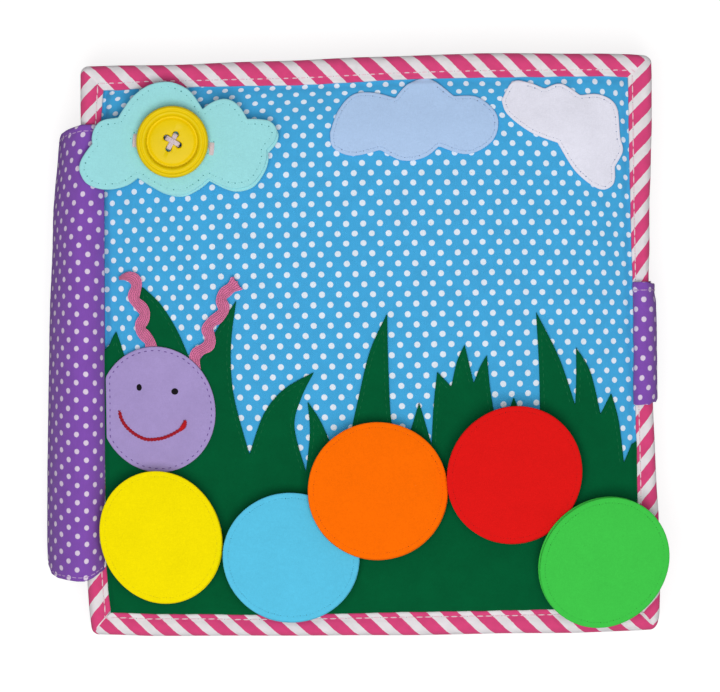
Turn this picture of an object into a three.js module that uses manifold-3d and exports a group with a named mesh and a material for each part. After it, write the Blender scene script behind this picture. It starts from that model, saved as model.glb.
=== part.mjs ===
// Cloth quiet book, closed, lying on its back cover with the front cover up.
// Millimetres. X runs from the spine to the fore edge, Y to the top of the page, Z up.
// The origin is the middle of the back cover's underside.
import * as THREE from 'three';
import Module from 'manifold-3d';

const wasm = await Module();
wasm.setup();

// Page and leaves
const pageHalf = 100;
const bindingWidth = 8;
const gap = 0.3;
const clothThickness = 0.5;
const middleThickness = 7;
const edgeThickness = 4.4;
const crownRun = 18;
const rawInset = 2.8;
const leafPitch = middleThickness + 0.4;
const bindingInner = pageHalf - bindingWidth;
const flatReach = bindingInner - crownRun;
const rawEdge = pageHalf - rawInset;

// The picture is measured on a page 200 wide, and grows with the page
const share = pageHalf / 100;
const onPage = (values) => values.map((value) => value * share);

// Felt
const feltThickness = 1.0;
const discFelt = 1.4;
const cloudFelt = 1.2;
const rickrackThickness = 0.8;
const rickrackWidth = 4.7;

// Leaf levels: the middle plane of each leaf above the table
const leafLevel = (number) => middleThickness / 2 + number * leafPitch;
const backLevel = leafLevel(0);
const thirdLevel = leafLevel(1);
const secondLevel = leafLevel(2);
const frontLevel = leafLevel(3);
const pageTop = frontLevel + middleThickness / 2;
const bindingTop = frontLevel + edgeThickness / 2;
const bindingBottom = backLevel - edgeThickness / 2;

// Colours
const blueCloth = 0x3fa3da;
const pinkCloth = 0xdf467f;
const purpleCloth = 0x7b46a6;
const plainCloth = 0xe8e2e6;
const wadding = 0xf3f1ec;
const grassGreen = 0x005c33;
const paleBlue = 0xa8c6e8;
const cloudWhite = 0xdedeeb;
const mint = 0x98dcdc;
const buttonYellow = 0xe4c814;
const threadWhite = 0xdfcdd2;
const lilac = 0xa591cd;
const eyeBlack = 0x1c1a1e;
const mouthRed = 0xb9182a;
const rickrackPink = 0xe16e96;
const snapWhite = 0xf0f0ee;
const patchWhite = 0xe9e9ea;

const book = new THREE.Group();
book.name = 'quiet_book';

// Adding a named sub-part
function add(group, name, geometry, colour, roughness, metalness = 0) {
  geometry.computeVertexNormals();
  const material = new THREE.MeshStandardMaterial({ color: colour, roughness, metalness });
  material.name = name;
  const mesh = new THREE.Mesh(geometry, material);
  mesh.name = name;
  group.add(mesh);
  return mesh;
}

// Exact solids for cutting and joining
function toSolid(geometry) {
  const source = geometry.index ? geometry.toNonIndexed() : geometry;
  const position = source.getAttribute('position');
  const seen = new Map();
  const points = [];
  const triangles = [];
  for (let corner = 0; corner < position.count; corner += 1) {
    const x = position.getX(corner);
    const y = position.getY(corner);
    const z = position.getZ(corner);
    const key = `${Math.round(x * 1e4)},${Math.round(y * 1e4)},${Math.round(z * 1e4)}`;
    if (!seen.has(key)) {
      seen.set(key, points.length / 3);
      points.push(x, y, z);
    }
    triangles.push(seen.get(key));
  }
  const kept = [];
  for (let start = 0; start < triangles.length; start += 3) {
    const [a, b, c] = triangles.slice(start, start + 3);
    if (a !== b && b !== c && c !== a) kept.push(a, b, c);
  }
  const mesh = new wasm.Mesh({
    numProp: 3,
    vertProperties: new Float32Array(points),
    triVerts: new Uint32Array(kept),
  });
  const solid = new wasm.Manifold(mesh);
  return solid;
}

function toGeometry(solid) {
  const mesh = solid.getMesh();
  const stride = mesh.numProp;
  const points = [];
  for (let start = 0; start < mesh.vertProperties.length; start += stride) {
    points.push(mesh.vertProperties[start]);
    points.push(mesh.vertProperties[start + 1]);
    points.push(mesh.vertProperties[start + 2]);
  }
  const geometry = new THREE.BufferGeometry();
  geometry.setAttribute('position', new THREE.Float32BufferAttribute(points, 3));
  geometry.setIndex(Array.from(mesh.triVerts));
  return geometry.toNonIndexed();
}

// A plate of an outline, standing between two heights
function plate(shape, low, high, curveSegments = 8) {
  const options = { depth: high - low, bevelEnabled: false, curveSegments };
  const geometry = new THREE.ExtrudeGeometry(shape, options);
  geometry.translate(0, 0, low);
  return geometry;
}

function rectangle(xLow, xHigh, yLow, yHigh) {
  const shape = new THREE.Shape();
  shape.moveTo(xLow, yLow);
  shape.lineTo(xHigh, yLow);
  shape.lineTo(xHigh, yHigh);
  shape.lineTo(xLow, yHigh);
  shape.closePath();
  return shape;
}

function roundedRectangle(xLow, xHigh, yLow, yHigh, radius) {
  const shape = new THREE.Shape();
  shape.moveTo(xLow + radius, yLow);
  shape.lineTo(xHigh - radius, yLow);
  shape.absarc(xHigh - radius, yLow + radius, radius, -Math.PI / 2, 0);
  shape.lineTo(xHigh, yHigh - radius);
  shape.absarc(xHigh - radius, yHigh - radius, radius, 0, Math.PI / 2);
  shape.lineTo(xLow + radius, yHigh);
  shape.absarc(xLow + radius, yHigh - radius, radius, Math.PI / 2, Math.PI);
  shape.lineTo(xLow, yLow + radius);
  shape.absarc(xLow + radius, yLow + radius, radius, Math.PI, 1.5 * Math.PI);
  return shape;
}

// A profile drawn in X and Z, run along Y
function runAlongY(shape, yLow, yHigh) {
  const options = { depth: yHigh - yLow, bevelEnabled: false, curveSegments: 8 };
  const geometry = new THREE.ExtrudeGeometry(shape, options);
  geometry.rotateX(Math.PI / 2);
  geometry.translate(0, yHigh, 0);
  return geometry;
}

// The padded leaf's crown: 1 on its flat middle, falling to 0 at the binding
function rise(reach) {
  const u = Math.abs(reach);
  if (u <= flatReach) return 1;
  if (u >= bindingInner) return 0;
  return 0.5 + 0.5 * Math.cos((Math.PI * (u - flatReach)) / (bindingInner - flatReach));
}

const crown = (x, y) => rise(x) * rise(y);
const clothEdgeHalf = edgeThickness / 2 - clothThickness - gap;
const clothHalf = (x, y) => clothEdgeHalf + (middleThickness / 2 - clothEdgeHalf) * crown(x, y);
const battingHalf = (x, y) => clothHalf(x, y) - clothThickness - gap;
const slope = [0, 5, 10, 14].map((step) => flatReach + (step * crownRun) / 18);

function gridLines(edge) {
  const outside = edge > bindingInner ? [bindingInner, edge] : [edge];
  const half = slope.concat(outside);
  return half.slice().reverse().map((value) => -value).concat(half);
}

// A sheet that follows the crown, closed between a lower and an upper surface
function crownedSheet(edge, zLow, zHigh) {
  const lines = gridLines(edge);
  const count = lines.length;
  const points = [];
  for (const level of [zLow, zHigh]) {
    for (const y of lines) {
      for (const x of lines) points.push(x, y, level(x, y));
    }
  }
  const at = (side, row, column) => side * count * count + row * count + column;
  const index = [];
  for (let row = 0; row < count - 1; row += 1) {
    for (let column = 0; column < count - 1; column += 1) {
      const corners = [[row, column], [row, column + 1], [row + 1, column + 1], [row + 1, column]];
      const [a, b, c, d] = corners.map(([r, k]) => at(1, r, k));
      index.push(a, b, c, a, c, d);
      const [e, f, g, h] = corners.map(([r, k]) => at(0, r, k));
      index.push(e, g, f, e, h, g);
    }
  }
  const last = count - 1;
  for (let step = 0; step < last; step += 1) {
    const walls = [
      [[0, step], [0, step + 1]],
      [[step, last], [step + 1, last]],
      [[last, step + 1], [last, step]],
      [[step + 1, 0], [step, 0]],
    ];
    for (const [from, to] of walls) {
      const [a, b] = [at(0, ...from), at(0, ...to)];
      const [c, d] = [at(1, ...to), at(1, ...from)];
      index.push(a, b, c, a, c, d);
    }
  }
  const geometry = new THREE.BufferGeometry();
  geometry.setAttribute('position', new THREE.Float32BufferAttribute(points, 3));
  geometry.setIndex(index);
  return geometry;
}

// Bias binding: a folded strip round all four edges, mitred at the corners
function bindingFrame(level) {
  const outer = edgeThickness / 2;
  const inner = outer - clothThickness;
  const noseCentre = pageHalf - outer;
  const profile = [];
  const steps = 6;
  profile.push([bindingInner, outer]);
  for (let step = 0; step <= steps; step += 1) {
    const angle = Math.PI / 2 - (Math.PI * step) / steps;
    profile.push([noseCentre + outer * Math.cos(angle), outer * Math.sin(angle)]);
  }
  profile.push([bindingInner, -outer]);
  profile.push([bindingInner, -inner]);
  for (let step = 0; step <= steps; step += 1) {
    const angle = -Math.PI / 2 + (Math.PI * step) / steps;
    profile.push([noseCentre + inner * Math.cos(angle), inner * Math.sin(angle)]);
  }
  profile.push([bindingInner, inner]);
  const signs = [[1, 1], [-1, 1], [-1, -1], [1, -1]];
  const points = [];
  for (const [u, z] of profile) {
    for (const [sx, sy] of signs) points.push(sx * u, sy * u, level + z);
  }
  const index = [];
  const count = profile.length;
  for (let step = 0; step < count; step += 1) {
    const next = (step + 1) % count;
    for (let corner = 0; corner < 4; corner += 1) {
      const after = (corner + 1) % 4;
      const a = step * 4 + corner;
      const b = step * 4 + after;
      const c = next * 4 + after;
      const d = next * 4 + corner;
      index.push(a, c, b, a, d, c);
    }
  }
  const geometry = new THREE.BufferGeometry();
  geometry.setAttribute('position', new THREE.Float32BufferAttribute(points, 3));
  geometry.setIndex(index);
  return geometry;
}

// One padded leaf: an upper cloth, wadding, a lower cloth and the binding
function addLeaf(leaf, level, upperName, lowerName, upperColour, lowerColour) {
  const group = new THREE.Group();
  group.name = leaf;
  book.add(group);
  const upperHigh = (x, y) => level + clothHalf(x, y);
  const upperLow = (x, y) => upperHigh(x, y) - clothThickness;
  const lowerLow = (x, y) => level - clothHalf(x, y);
  const lowerHigh = (x, y) => lowerLow(x, y) + clothThickness;
  const fillHigh = (x, y) => level + battingHalf(x, y);
  const fillLow = (x, y) => level - battingHalf(x, y);
  add(group, `${leaf}_${upperName}`, crownedSheet(rawEdge, upperLow, upperHigh), upperColour, 0.85);
  add(group, `${leaf}_batting`, crownedSheet(rawEdge, fillLow, fillHigh), wadding, 0.95);
  add(group, `${leaf}_${lowerName}`, crownedSheet(rawEdge, lowerLow, lowerHigh), lowerColour, 0.85);
  add(group, `${leaf}_binding`, bindingFrame(level), pinkCloth, 0.85);
  return group;
}

const frontCover = addLeaf('front_cover', frontLevel, 'face_cloth', 'inside_cloth', blueCloth, plainCloth);
addLeaf('second_leaf', secondLevel, 'front_cloth', 'back_cloth', plainCloth, plainCloth);
addLeaf('third_leaf', thirdLevel, 'front_cloth', 'back_cloth', plainCloth, plainCloth);
const backCover = addLeaf('back_cover', backLevel, 'inside_cloth', 'outside_cloth', plainCloth, blueCloth);

// Felt lying on the page follows the page's crown
const pageSurface = (x, y) => frontLevel + clothHalf(x, y);

function feltOnPage(shape, lift, thickness, edge, curveSegments = 5) {
  const low = (x, y) => pageSurface(x, y) + lift;
  const high = (x, y) => pageSurface(x, y) + lift + thickness;
  const sheet = toSolid(crownedSheet(edge, low, high));
  const block = toSolid(plate(shape, pageTop - 8, pageTop + 12, curveSegments));
  return toGeometry(block.intersect(sheet));
}

// An outline of curved lobes: each lobe runs through its points and ends in a corner
function lobedOutline(start, lobes) {
  const shape = new THREE.Shape();
  shape.moveTo(...onPage(start));
  for (const lobe of lobes) {
    if (lobe.length === 1) {
      shape.lineTo(...onPage(lobe[0]));
    } else {
      shape.splineThru(lobe.map((point) => new THREE.Vector2(...onPage(point))));
    }
  }
  return shape;
}

const pageReach = bindingInner - gap;
const underBand = bindingInner + 0.7;
const firstLift = gap;
const secondLift = firstLift + feltThickness + gap;
const thirdLift = secondLift + feltThickness + gap;

// Grass: one piece of felt, its blades pointed and bent
const grassShape = lobedOutline([-91.7, -91.7], [
  [[-91.7, 2]],
  [[-90.6, 4.6], [-89.3, 6.6]],
  [[-88, 2.9], [-86.5, -2.1]],
  [[-82.6, 10.6], [-79.6, 22.1]],
  [[-73.6, 16.1], [-67.9, 6.8], [-63.8, -2.8]],
  [[-59.2, -3.2]],
  [[-54.6, 5.6], [-46.8, 16.9]],
  [[-48.9, 1.3], [-48.3, -16], [-43, -37.4]],
  [[-37.7, -23.2], [-30.5, -14.6], [-19.8, -8.7]],
  [[-24.4, -17.6], [-27, -28], [-23.2, -43.7]],
  [[-21.6, -30], [-22.3, -19]],
  [[-17, -27.7], [-11.2, -43.3]],
  [[-8.6, -36]],
  [[-4.5, -18.8], [0, -1.5], [6.2, 11.5]],
  [[6.3, -4], [7, -25.3], [9.4, -34]],
  [[12.6, -34]],
  [[17, -19.9]],
  [[21.2, -34.9]],
  [[22, -22], [23.5, -9.2]],
  [[28.4, -14.6]],
  [[30.5, -5.9], [33.3, 0.2]],
  [[36.3, -13.6]],
  [[38.6, -7.8], [41.1, -3.6]],
  [[41.9, -14], [43.6, -26.6]],
  [[47.4, -26.6]],
  [[50.3, -18.5]],
  [[53.4, -26.6]],
  [[59.5, -26.6]],
  [[59.4, -8], [58.6, 11.3]],
  [[66.5, -5], [71.9, -21.7]],
  [[72.4, -12], [72.5, -1.4]],
  [[77.4, -10], [80.8, -25]],
  [[84.7, -17.6]],
  [[87.3, -28], [88.8, -42.3]],
  [[91.7, -35.6]],
  [[91.7, -91.7]],
  [[-91.7, -91.7]],
]);
add(frontCover, 'grass', feltOnPage(grassShape, firstLift, feltThickness, pageReach, 3), grassGreen, 0.95);

// Light-blue cloud, sewn flat
const blueCloudShape = lobedOutline([-13, 75.4], [
  [[-10, 83.2], [-4.7, 88.8], [2.6, 89.4], [10.1, 87.4]],
  [[15, 92.4], [22.5, 93.9], [30.9, 87.8]],
  [[39.4, 87.2], [46, 80.6], [44.4, 72], [35.4, 67.2], [25.3, 70.1]],
  [[20, 66.2], [12.2, 65.3], [4.6, 69.1]],
  [[-5.3, 67.2], [-12, 70.2], [-13, 75.4]],
]);
add(frontCover, 'light_blue_cloud', feltOnPage(blueCloudShape, firstLift, feltThickness, pageReach), paleBlue, 0.95);

// White cloud, sewn flat in the top outer corner
const whiteCloudShape = lobedOutline([47.6, 86.1], [
  [[51.7, 92.6], [57.7, 92], [62.8, 89.9]],
  [[68.6, 91.6], [75.4, 87.4]],
  [[82.2, 87.6], [88, 83.4], [89.2, 72.6], [90.1, 67.6], [87.2, 62.1]],
  [[86.6, 56], [81.6, 54.2], [73.4, 60.4], [67.1, 70.7]],
  [[57.6, 74.6], [49.6, 81], [47.6, 86.1]],
]);
add(frontCover, 'white_cloud', feltOnPage(whiteCloudShape, firstLift, feltThickness, pageReach), cloudWhite, 0.95);

// Head, sewn flat: a felt round with its left side against the spine band
const headCentre = onPage([-74.2, -20.95]);
const headRadius = onPage([19.6, 22.1]);
const headShape = new THREE.Shape();
headShape.absellipse(headCentre[0], headCentre[1], headRadius[0], headRadius[1], 0, 2 * Math.PI);
add(frontCover, 'head', feltOnPage(headShape, secondLift, feltThickness, underBand, 20), lilac, 0.95);

// Eyes: two small domed rounds
function addEye(name, spot) {
  const radius = 1.2;
  const [x, y] = onPage(spot);
  const base = Math.max(pageSurface(x - radius, y), pageSurface(x + radius, y)) + thirdLift;
  const profile = [
    new THREE.Vector2(0, 0),
    new THREE.Vector2(radius, 0),
    new THREE.Vector2(radius, 0.3),
    new THREE.Vector2(radius * 0.6, 0.6),
    new THREE.Vector2(0, 0.7),
  ];
  const geometry = new THREE.LatheGeometry(profile, 14);
  geometry.rotateX(Math.PI / 2);
  geometry.translate(x, y, base);
  add(frontCover, name, geometry, eyeBlack, 0.45);
}
addEye('eye_left', [-81.4, -13.2]);
addEye('eye_right', [-68.9, -14.8]);

// A ribbon of even width along a centre line
function ribbonShape(centreLine, width, steps) {
  const points = centreLine.map((point) => new THREE.Vector3(...onPage(point), 0));
  const curve = new THREE.CatmullRomCurve3(points);
  const left = [];
  const right = [];
  for (let step = 0; step <= steps; step += 1) {
    const point = curve.getPoint(step / steps);
    const tangent = curve.getTangent(step / steps);
    const across = new THREE.Vector2(-tangent.y, tangent.x).multiplyScalar(width / 2);
    left.push(new THREE.Vector2(point.x + across.x, point.y + across.y));
    right.push(new THREE.Vector2(point.x - across.x, point.y - across.y));
  }
  return new THREE.Shape(left.concat(right.reverse()));
}

// Mouth: a line of red stitching
const mouthLine = [[-88.5, -21.3], [-85.2, -27.8], [-78.8, -31.4], [-71.4, -30.8], [-65.6, -25.2]];
const mouthShape = ribbonShape(mouthLine, 0.9, 18);
add(frontCover, 'mouth', feltOnPage(mouthShape, thirdLift, 0.7, underBand), mouthRed, 0.7);

// Feelers: waved rick-rack, their lower ends butting on the head
const leftFeelerLine = [
  [-77.1, 0.4], [-79.5, 3.8], [-80.5, 7.7], [-79.2, 12.6], [-81.1, 16.9],
  [-82.5, 19.7], [-82.1, 22.9], [-83.4, 25.8], [-87.7, 25.4],
];
const rightFeelerLine = [
  [-61.6, -5.8], [-60.9, -1.7], [-57.4, 1], [-56.2, 4.4], [-56.8, 8.4], [-54.8, 11.6],
  [-51.9, 14.3], [-51.3, 18], [-49.7, 21], [-45.6, 22.9],
];
const headClear = new THREE.Shape();
headClear.absellipse(headCentre[0], headCentre[1], headRadius[0] + gap, headRadius[1] + gap, 0, 2 * Math.PI);

function addFeeler(name, line) {
  const shape = ribbonShape(line, rickrackWidth, 30);
  const band = toSolid(feltOnPage(shape, secondLift, rickrackThickness, underBand));
  const cutter = toSolid(plate(headClear, pageTop - 8, pageTop + 12, 20));
  add(frontCover, name, toGeometry(band.subtract(cutter)), rickrackPink, 0.8);
}
addFeeler('feeler_left', leftFeelerLine);
addFeeler('feeler_right', rightFeelerLine);

// Yellow button on its thread shank
const buttonCentre = onPage([-68.4, 72.9]);
const buttonRadius = 12.7;
const buttonHeight = 4;
const holeRadius = 1.05;
const holeSpots = [[-2, 1.5], [1.3, 2.6], [-1.3, -2.4], [2.3, -1.1]];
const shankRadius = 1.5;
const cloudLow = pageTop + 2.3;
const cloudHigh = cloudLow + 2 * cloudFelt + gap;
const buttonLow = cloudHigh + 1.4;
const floorHeight = 2.2;

function roundPost(x, y, radius, low, high, segments = 12) {
  const shape = new THREE.Shape();
  shape.absarc(x, y, radius, 0, 2 * Math.PI);
  return plate(shape, low, high, segments);
}

function buttonGeometry() {
  const profile = [
    [0, 0.4], [6, 0.2], [10.4, 0], [12.1, 0.7], [buttonRadius, 1.9], [12.3, 3.1], [11.4, 3.8],
    [10.4, buttonHeight], [9.4, 3.5], [8.8, 2.6], [8.1, floorHeight], [0, floorHeight],
  ].map(([r, z]) => new THREE.Vector2(r, z));
  const body = new THREE.LatheGeometry(profile, 40);
  body.rotateX(Math.PI / 2);
  body.translate(buttonCentre[0], buttonCentre[1], buttonLow);
  let solid = toSolid(body);
  for (const [dx, dy] of holeSpots) {
    const x = buttonCentre[0] + dx;
    const y = buttonCentre[1] + dy;
    const hole = toSolid(roundPost(x, y, holeRadius, buttonLow - 2, buttonLow + 6));
    solid = solid.subtract(hole);
  }
  return toGeometry(solid);
}
add(frontCover, 'button', buttonGeometry(), buttonYellow, 0.3);

// Sewing thread: shank, four strands up through the holes, crossed on top
function threadGeometry() {
  const [x, y] = buttonCentre;
  const strand = 0.7;
  const flareLow = cloudHigh + 0.2;
  const profile = [
    [0, pageTop + gap], [2.6, pageTop + gap], [shankRadius, pageTop + 1.2], [shankRadius, flareLow],
    [3.3, flareLow + 0.5], [3.3, buttonLow + 0.1], [0, buttonLow + 0.1],
  ].map(([r, z]) => new THREE.Vector2(r, z));
  const shank = new THREE.LatheGeometry(profile, 16);
  shank.rotateX(Math.PI / 2);
  shank.translate(x, y, 0);
  let solid = toSolid(shank);
  const under = toSolid(roundPost(x, y, 8, buttonLow - gap + 0.1, buttonLow + 3));
  solid = solid.subtract(under);
  const top = buttonLow + floorHeight + gap;
  for (const [dx, dy] of holeSpots) {
    const post = toSolid(roundPost(x + dx, y + dy, strand, flareLow + 0.6, top + 0.8, 6));
    solid = solid.add(post);
  }
  const pairs = [[0, 3], [1, 2]];
  for (const [from, to] of pairs) {
    const [ax, ay] = holeSpots[from];
    const [bx, by] = holeSpots[to];
    const length = Math.hypot(bx - ax, by - ay);
    const across = [(-(by - ay) * strand) / length, ((bx - ax) * strand) / length];
    const bar = new THREE.Shape();
    bar.moveTo(x + ax + across[0], y + ay + across[1]);
    bar.lineTo(x + ax - across[0], y + ay - across[1]);
    bar.lineTo(x + bx - across[0], y + by - across[1]);
    bar.lineTo(x + bx + across[0], y + by + across[1]);
    bar.closePath();
    solid = solid.add(toSolid(plate(bar, top, top + 1)));
  }
  return toGeometry(solid);
}
add(frontCover, 'button_thread', threadGeometry(), threadWhite, 0.8);

// Mint cloud: two felts with a buttonhole slit, turning on the button's shank
const cloudGroup = new THREE.Group();
cloudGroup.name = 'mint_cloud';
book.add(cloudGroup);
const slitLength = 2 * buttonRadius + 2.1;
const slitWidth = 2 * (shankRadius + gap);
const slitTilt = THREE.MathUtils.degToRad(-5.8);
const mintShape = lobedOutline([-97, 71.6], [
  [[-95.6, 78.4], [-87.7, 82]],
  [[-82.2, 89], [-73.3, 94.2], [-63.6, 91.6], [-57.3, 84.1]],
  [[-49.7, 87.7], [-44.2, 85.2], [-41.6, 80.2]],
  [[-34.2, 79.8], [-31.2, 74.6], [-35.1, 69.4]],
  [[-35.4, 61.4], [-40.6, 55.4], [-48.6, 55.2], [-55.5, 59.6]],
  [[-60.8, 55.7], [-67.4, 53.9], [-74.2, 55.9], [-80.8, 60.9]],
  [[-91, 56.4], [-98.6, 58.6], [-101.5, 65], [-97, 71.6]],
]);

function slitCutter() {
  const bend = slitWidth / 2;
  const half = slitLength / 2 - bend;
  const shape = roundedRectangle(-half - bend, half + bend, -bend, bend, bend * 0.99);
  const geometry = plate(shape, cloudLow - 2, cloudHigh + 2, 3);
  geometry.rotateZ(slitTilt);
  geometry.translate(buttonCentre[0], buttonCentre[1], 0);
  return toSolid(geometry);
}

function addCloudFelt(name, low) {
  const felt = toSolid(plate(mintShape, low, low + cloudFelt, 5));
  add(cloudGroup, name, toGeometry(felt.subtract(slitCutter())), mint, 0.95);
}
addCloudFelt('mint_cloud_back_felt', cloudLow);
addCloudFelt('mint_cloud_front_felt', cloudLow + cloudFelt + gap);

// Body discs: two felts and a snap stud each, over a snap socket sewn on the page
const socketRadius = 4.5;
const socketHeight = 2.4;
const socketBore = 2.3;
const socketDepth = 1.6;
const studGap = 0.7;
const postRadius = 1.9;

function addSocket(name, x, y) {
  const corners = [[1, 1], [1, -1], [-1, 1], [-1, -1], [0, 0]];
  const heights = corners.map(([sx, sy]) => pageSurface(x + sx * 3.2, y + sy * 3.2));
  const base = Math.max(...heights) + secondLift;
  const profile = [
    [0, 0], [socketRadius, 0], [socketRadius, socketHeight - 0.6], [socketRadius - 0.8, socketHeight],
    [socketBore, socketHeight], [socketBore, socketHeight - socketDepth], [0, socketHeight - socketDepth],
  ].map(([r, z]) => new THREE.Vector2(r, z));
  const geometry = new THREE.LatheGeometry(profile, 20);
  geometry.rotateX(Math.PI / 2);
  geometry.translate(x, y, base);
  add(frontCover, name, geometry, snapWhite, 0.4);
  return base + socketHeight;
}

// A disc leans up along its lean direction in the page, or down where the angle is negative
function addDisc(name, centre, radii, colour, lean) {
  const [x, y] = centre;
  const rim = addSocket(`${name}_snap_socket`, x, y);
  const group = new THREE.Group();
  group.name = `${name}_disc`;
  book.add(group);
  const axis = new THREE.Vector3(lean.toward[1], -lean.toward[0], 0).normalize();
  const turn = new THREE.Matrix4().makeRotationAxis(axis, THREE.MathUtils.degToRad(lean.degrees));
  const place = (geometry) => {
    geometry.applyMatrix4(turn);
    geometry.translate(x, y, rim);
    return geometry;
  };
  const flange = studGap;
  const back = flange + 1 + gap;
  const front = back + discFelt + gap;
  const studProfile = [
    [0, -1.2], [postRadius - 0.3, -1.2], [postRadius, -0.7], [postRadius - 0.2, flange],
    [socketRadius, flange], [socketRadius, flange + 0.6], [socketRadius - 0.5, flange + 1],
    [0, flange + 1],
  ].map(([r, z]) => new THREE.Vector2(r, z));
  const stud = new THREE.LatheGeometry(studProfile, 20);
  stud.rotateX(Math.PI / 2);
  add(group, `${name}_snap_stud`, place(stud), snapWhite, 0.4);
  const shape = new THREE.Shape();
  shape.absellipse(0, 0, radii[0], radii[1], 0, 2 * Math.PI);
  add(group, `${name}_back_felt`, place(plate(shape, back, back + discFelt, 20)), colour, 0.95);
  add(group, `${name}_front_felt`, place(plate(shape, front, front + discFelt, 20)), colour, 0.95);
}

const yellowCentre = onPage([-74.5, -66.1]);
const lightBlueCentre = onPage([-28.9, -73.7]);
const orangeCentre = onPage([1.85, -50.7]);
const redCentre = onPage([50.35, -45.9]);
const greenCentre = onPage([81.3, -77.1]);
const away = (from, to) => [to[0] - from[0], to[1] - from[1]];
const flat = { toward: [1, 0], degrees: 0 };
const lowPair = 5.4 / share;
const highPair = 4.6 / share;
const orangeLean = { toward: away(orangeCentre, lightBlueCentre), degrees: lowPair };
const lightBlueLean = { toward: away(lightBlueCentre, orangeCentre), degrees: -lowPair };
const greenLean = { toward: away(greenCentre, redCentre), degrees: highPair };
const redLean = { toward: away(redCentre, greenCentre), degrees: -highPair };
addDisc('yellow', yellowCentre, onPage([21.6, 23.4]), 0xf5e100, flat);
addDisc('light_blue', lightBlueCentre, onPage([24.1, 22.9]), 0x5ac3e6, lightBlueLean);
addDisc('orange', orangeCentre, onPage([24.6, 24.6]), 0xff6e00, orangeLean);
addDisc('red', redCentre, onPage([23.8, 24.4]), 0xde1614, redLean);
addDisc('green', greenCentre, onPage([23, 23]), 0x41cd4b, greenLean);

// Spine band: a strip on the front cover, the bulge round the spine, a strip on the back cover
const bandThickness = 0.8;
const bandTopEnd = 78.4 * share;
const bandBottomEnd = -81.1 * share;
const bandRight = -bindingInner - 1;
const bandFold = -pageHalf + 1.5;
const bandFront = bindingTop + gap;
const bandBack = bindingBottom - gap - bandThickness;
const frontStrip = rectangle(bandFold, bandRight, bandBottomEnd, bandTopEnd);
add(frontCover, 'spine_band_front', plate(frontStrip, bandFront, bandFront + bandThickness), purpleCloth, 0.85);
add(backCover, 'spine_band_back', plate(frontStrip, bandBack, bandBack + bandThickness), purpleCloth, 0.85);

const spine = new THREE.Group();
spine.name = 'spine';
book.add(spine);

// The bulge is a half ellipse whose reach grows from its top end to its bottom end
function spineBulge() {
  const start = bandFold - gap;
  const middle = (bandFront + bandThickness + bandBack) / 2;
  const half = (bandFront + bandThickness - bandBack) / 2;
  const ends = [bandTopEnd, ...onPage([74, 60, 30, 0, -40, -70]), bandBottomEnd];
  const reach = [9.2, 11.2, 12.8, 13.6, 13.9, 14.7, 15.2, 14.6];
  const steps = 14;
  const points = [];
  for (const inset of [0, bandThickness]) {
    for (let row = 0; row < ends.length; row += 1) {
      for (let step = 0; step <= steps; step += 1) {
        const angle = Math.PI / 2 - (Math.PI * step) / steps;
        const x = start - (reach[row] - inset) * Math.cos(angle);
        points.push(x, ends[row], middle + (half - inset) * Math.sin(angle));
      }
    }
  }
  const width = steps + 1;
  const sheet = ends.length * width;
  const at = (side, row, step) => side * sheet + row * width + step;
  const index = [];
  const quad = (a, b, c, d) => index.push(a, b, c, a, c, d);
  for (let row = 0; row < ends.length - 1; row += 1) {
    for (let step = 0; step < steps; step += 1) {
      quad(at(0, row, step), at(0, row, step + 1), at(0, row + 1, step + 1), at(0, row + 1, step));
      quad(at(1, row, step), at(1, row + 1, step), at(1, row + 1, step + 1), at(1, row, step + 1));
    }
    quad(at(0, row, 0), at(0, row + 1, 0), at(1, row + 1, 0), at(1, row, 0));
    quad(at(0, row, steps), at(1, row, steps), at(1, row + 1, steps), at(0, row + 1, steps));
  }
  const last = ends.length - 1;
  for (let step = 0; step < steps; step += 1) {
    quad(at(0, 0, step), at(1, 0, step), at(1, 0, step + 1), at(0, 0, step + 1));
    quad(at(0, last, step), at(0, last, step + 1), at(1, last, step + 1), at(1, last, step));
  }
  const geometry = new THREE.BufferGeometry();
  geometry.setAttribute('position', new THREE.Float32BufferAttribute(points, 3));
  geometry.setIndex(index);
  return geometry;
}
add(spine, 'spine_band_bulge', spineBulge(), purpleCloth, 0.85);

// Inner spine band: a flat strip with a sewn ridge for each inner leaf, shorter than the outer band
// so that the mint cloud passes its end when it is turned half round on an open cover
const innerInset = 13;
function innerBand() {
  const face = -pageHalf - edgeThickness / 2 - gap;
  const rear = face - clothThickness;
  const tip = -pageHalf - 0.7;
  const low = backLevel + 0.5;
  const high = frontLevel - 0.5;
  const shape = new THREE.Shape();
  shape.moveTo(rear, low);
  shape.lineTo(face, low);
  for (const level of [thirdLevel, secondLevel]) {
    shape.lineTo(face, level - 0.8);
    shape.lineTo(tip, level - 0.3);
    shape.lineTo(tip, level + 0.3);
    shape.lineTo(face, level + 0.8);
  }
  shape.lineTo(face, high);
  shape.lineTo(rear, high);
  shape.closePath();
  return runAlongY(shape, bandBottomEnd + innerInset, bandTopEnd - innerInset);
}
add(spine, 'spine_inner_band', innerBand(), purpleCloth, 0.9);

// Closing strap: sewn on the front cover, folded down over the fore edge
const strapHalf = 21.65 * share;
const strapThickness = 0.7;
const strapRoot = bindingInner + 1;
const strapStep = 0.2;
const patchThickness = 0.5;
const patchHalf = strapHalf - 5.65;
const tabIn = pageHalf + gap;
const tabOut = tabIn + strapThickness;
const loopIn = tabOut + strapStep;
const hookIn = loopIn + patchThickness + strapStep;
const flapIn = hookIn + patchThickness + strapStep;
const strapTop = roundedRectangle(strapRoot, flapIn - 0.7, -strapHalf, strapHalf, 0.6);
add(frontCover, 'strap_top', plate(strapTop, bandFront, bandFront + strapThickness, 3), purpleCloth, 0.85);

const strap = new THREE.Group();
strap.name = 'strap';
book.add(strap);

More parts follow.
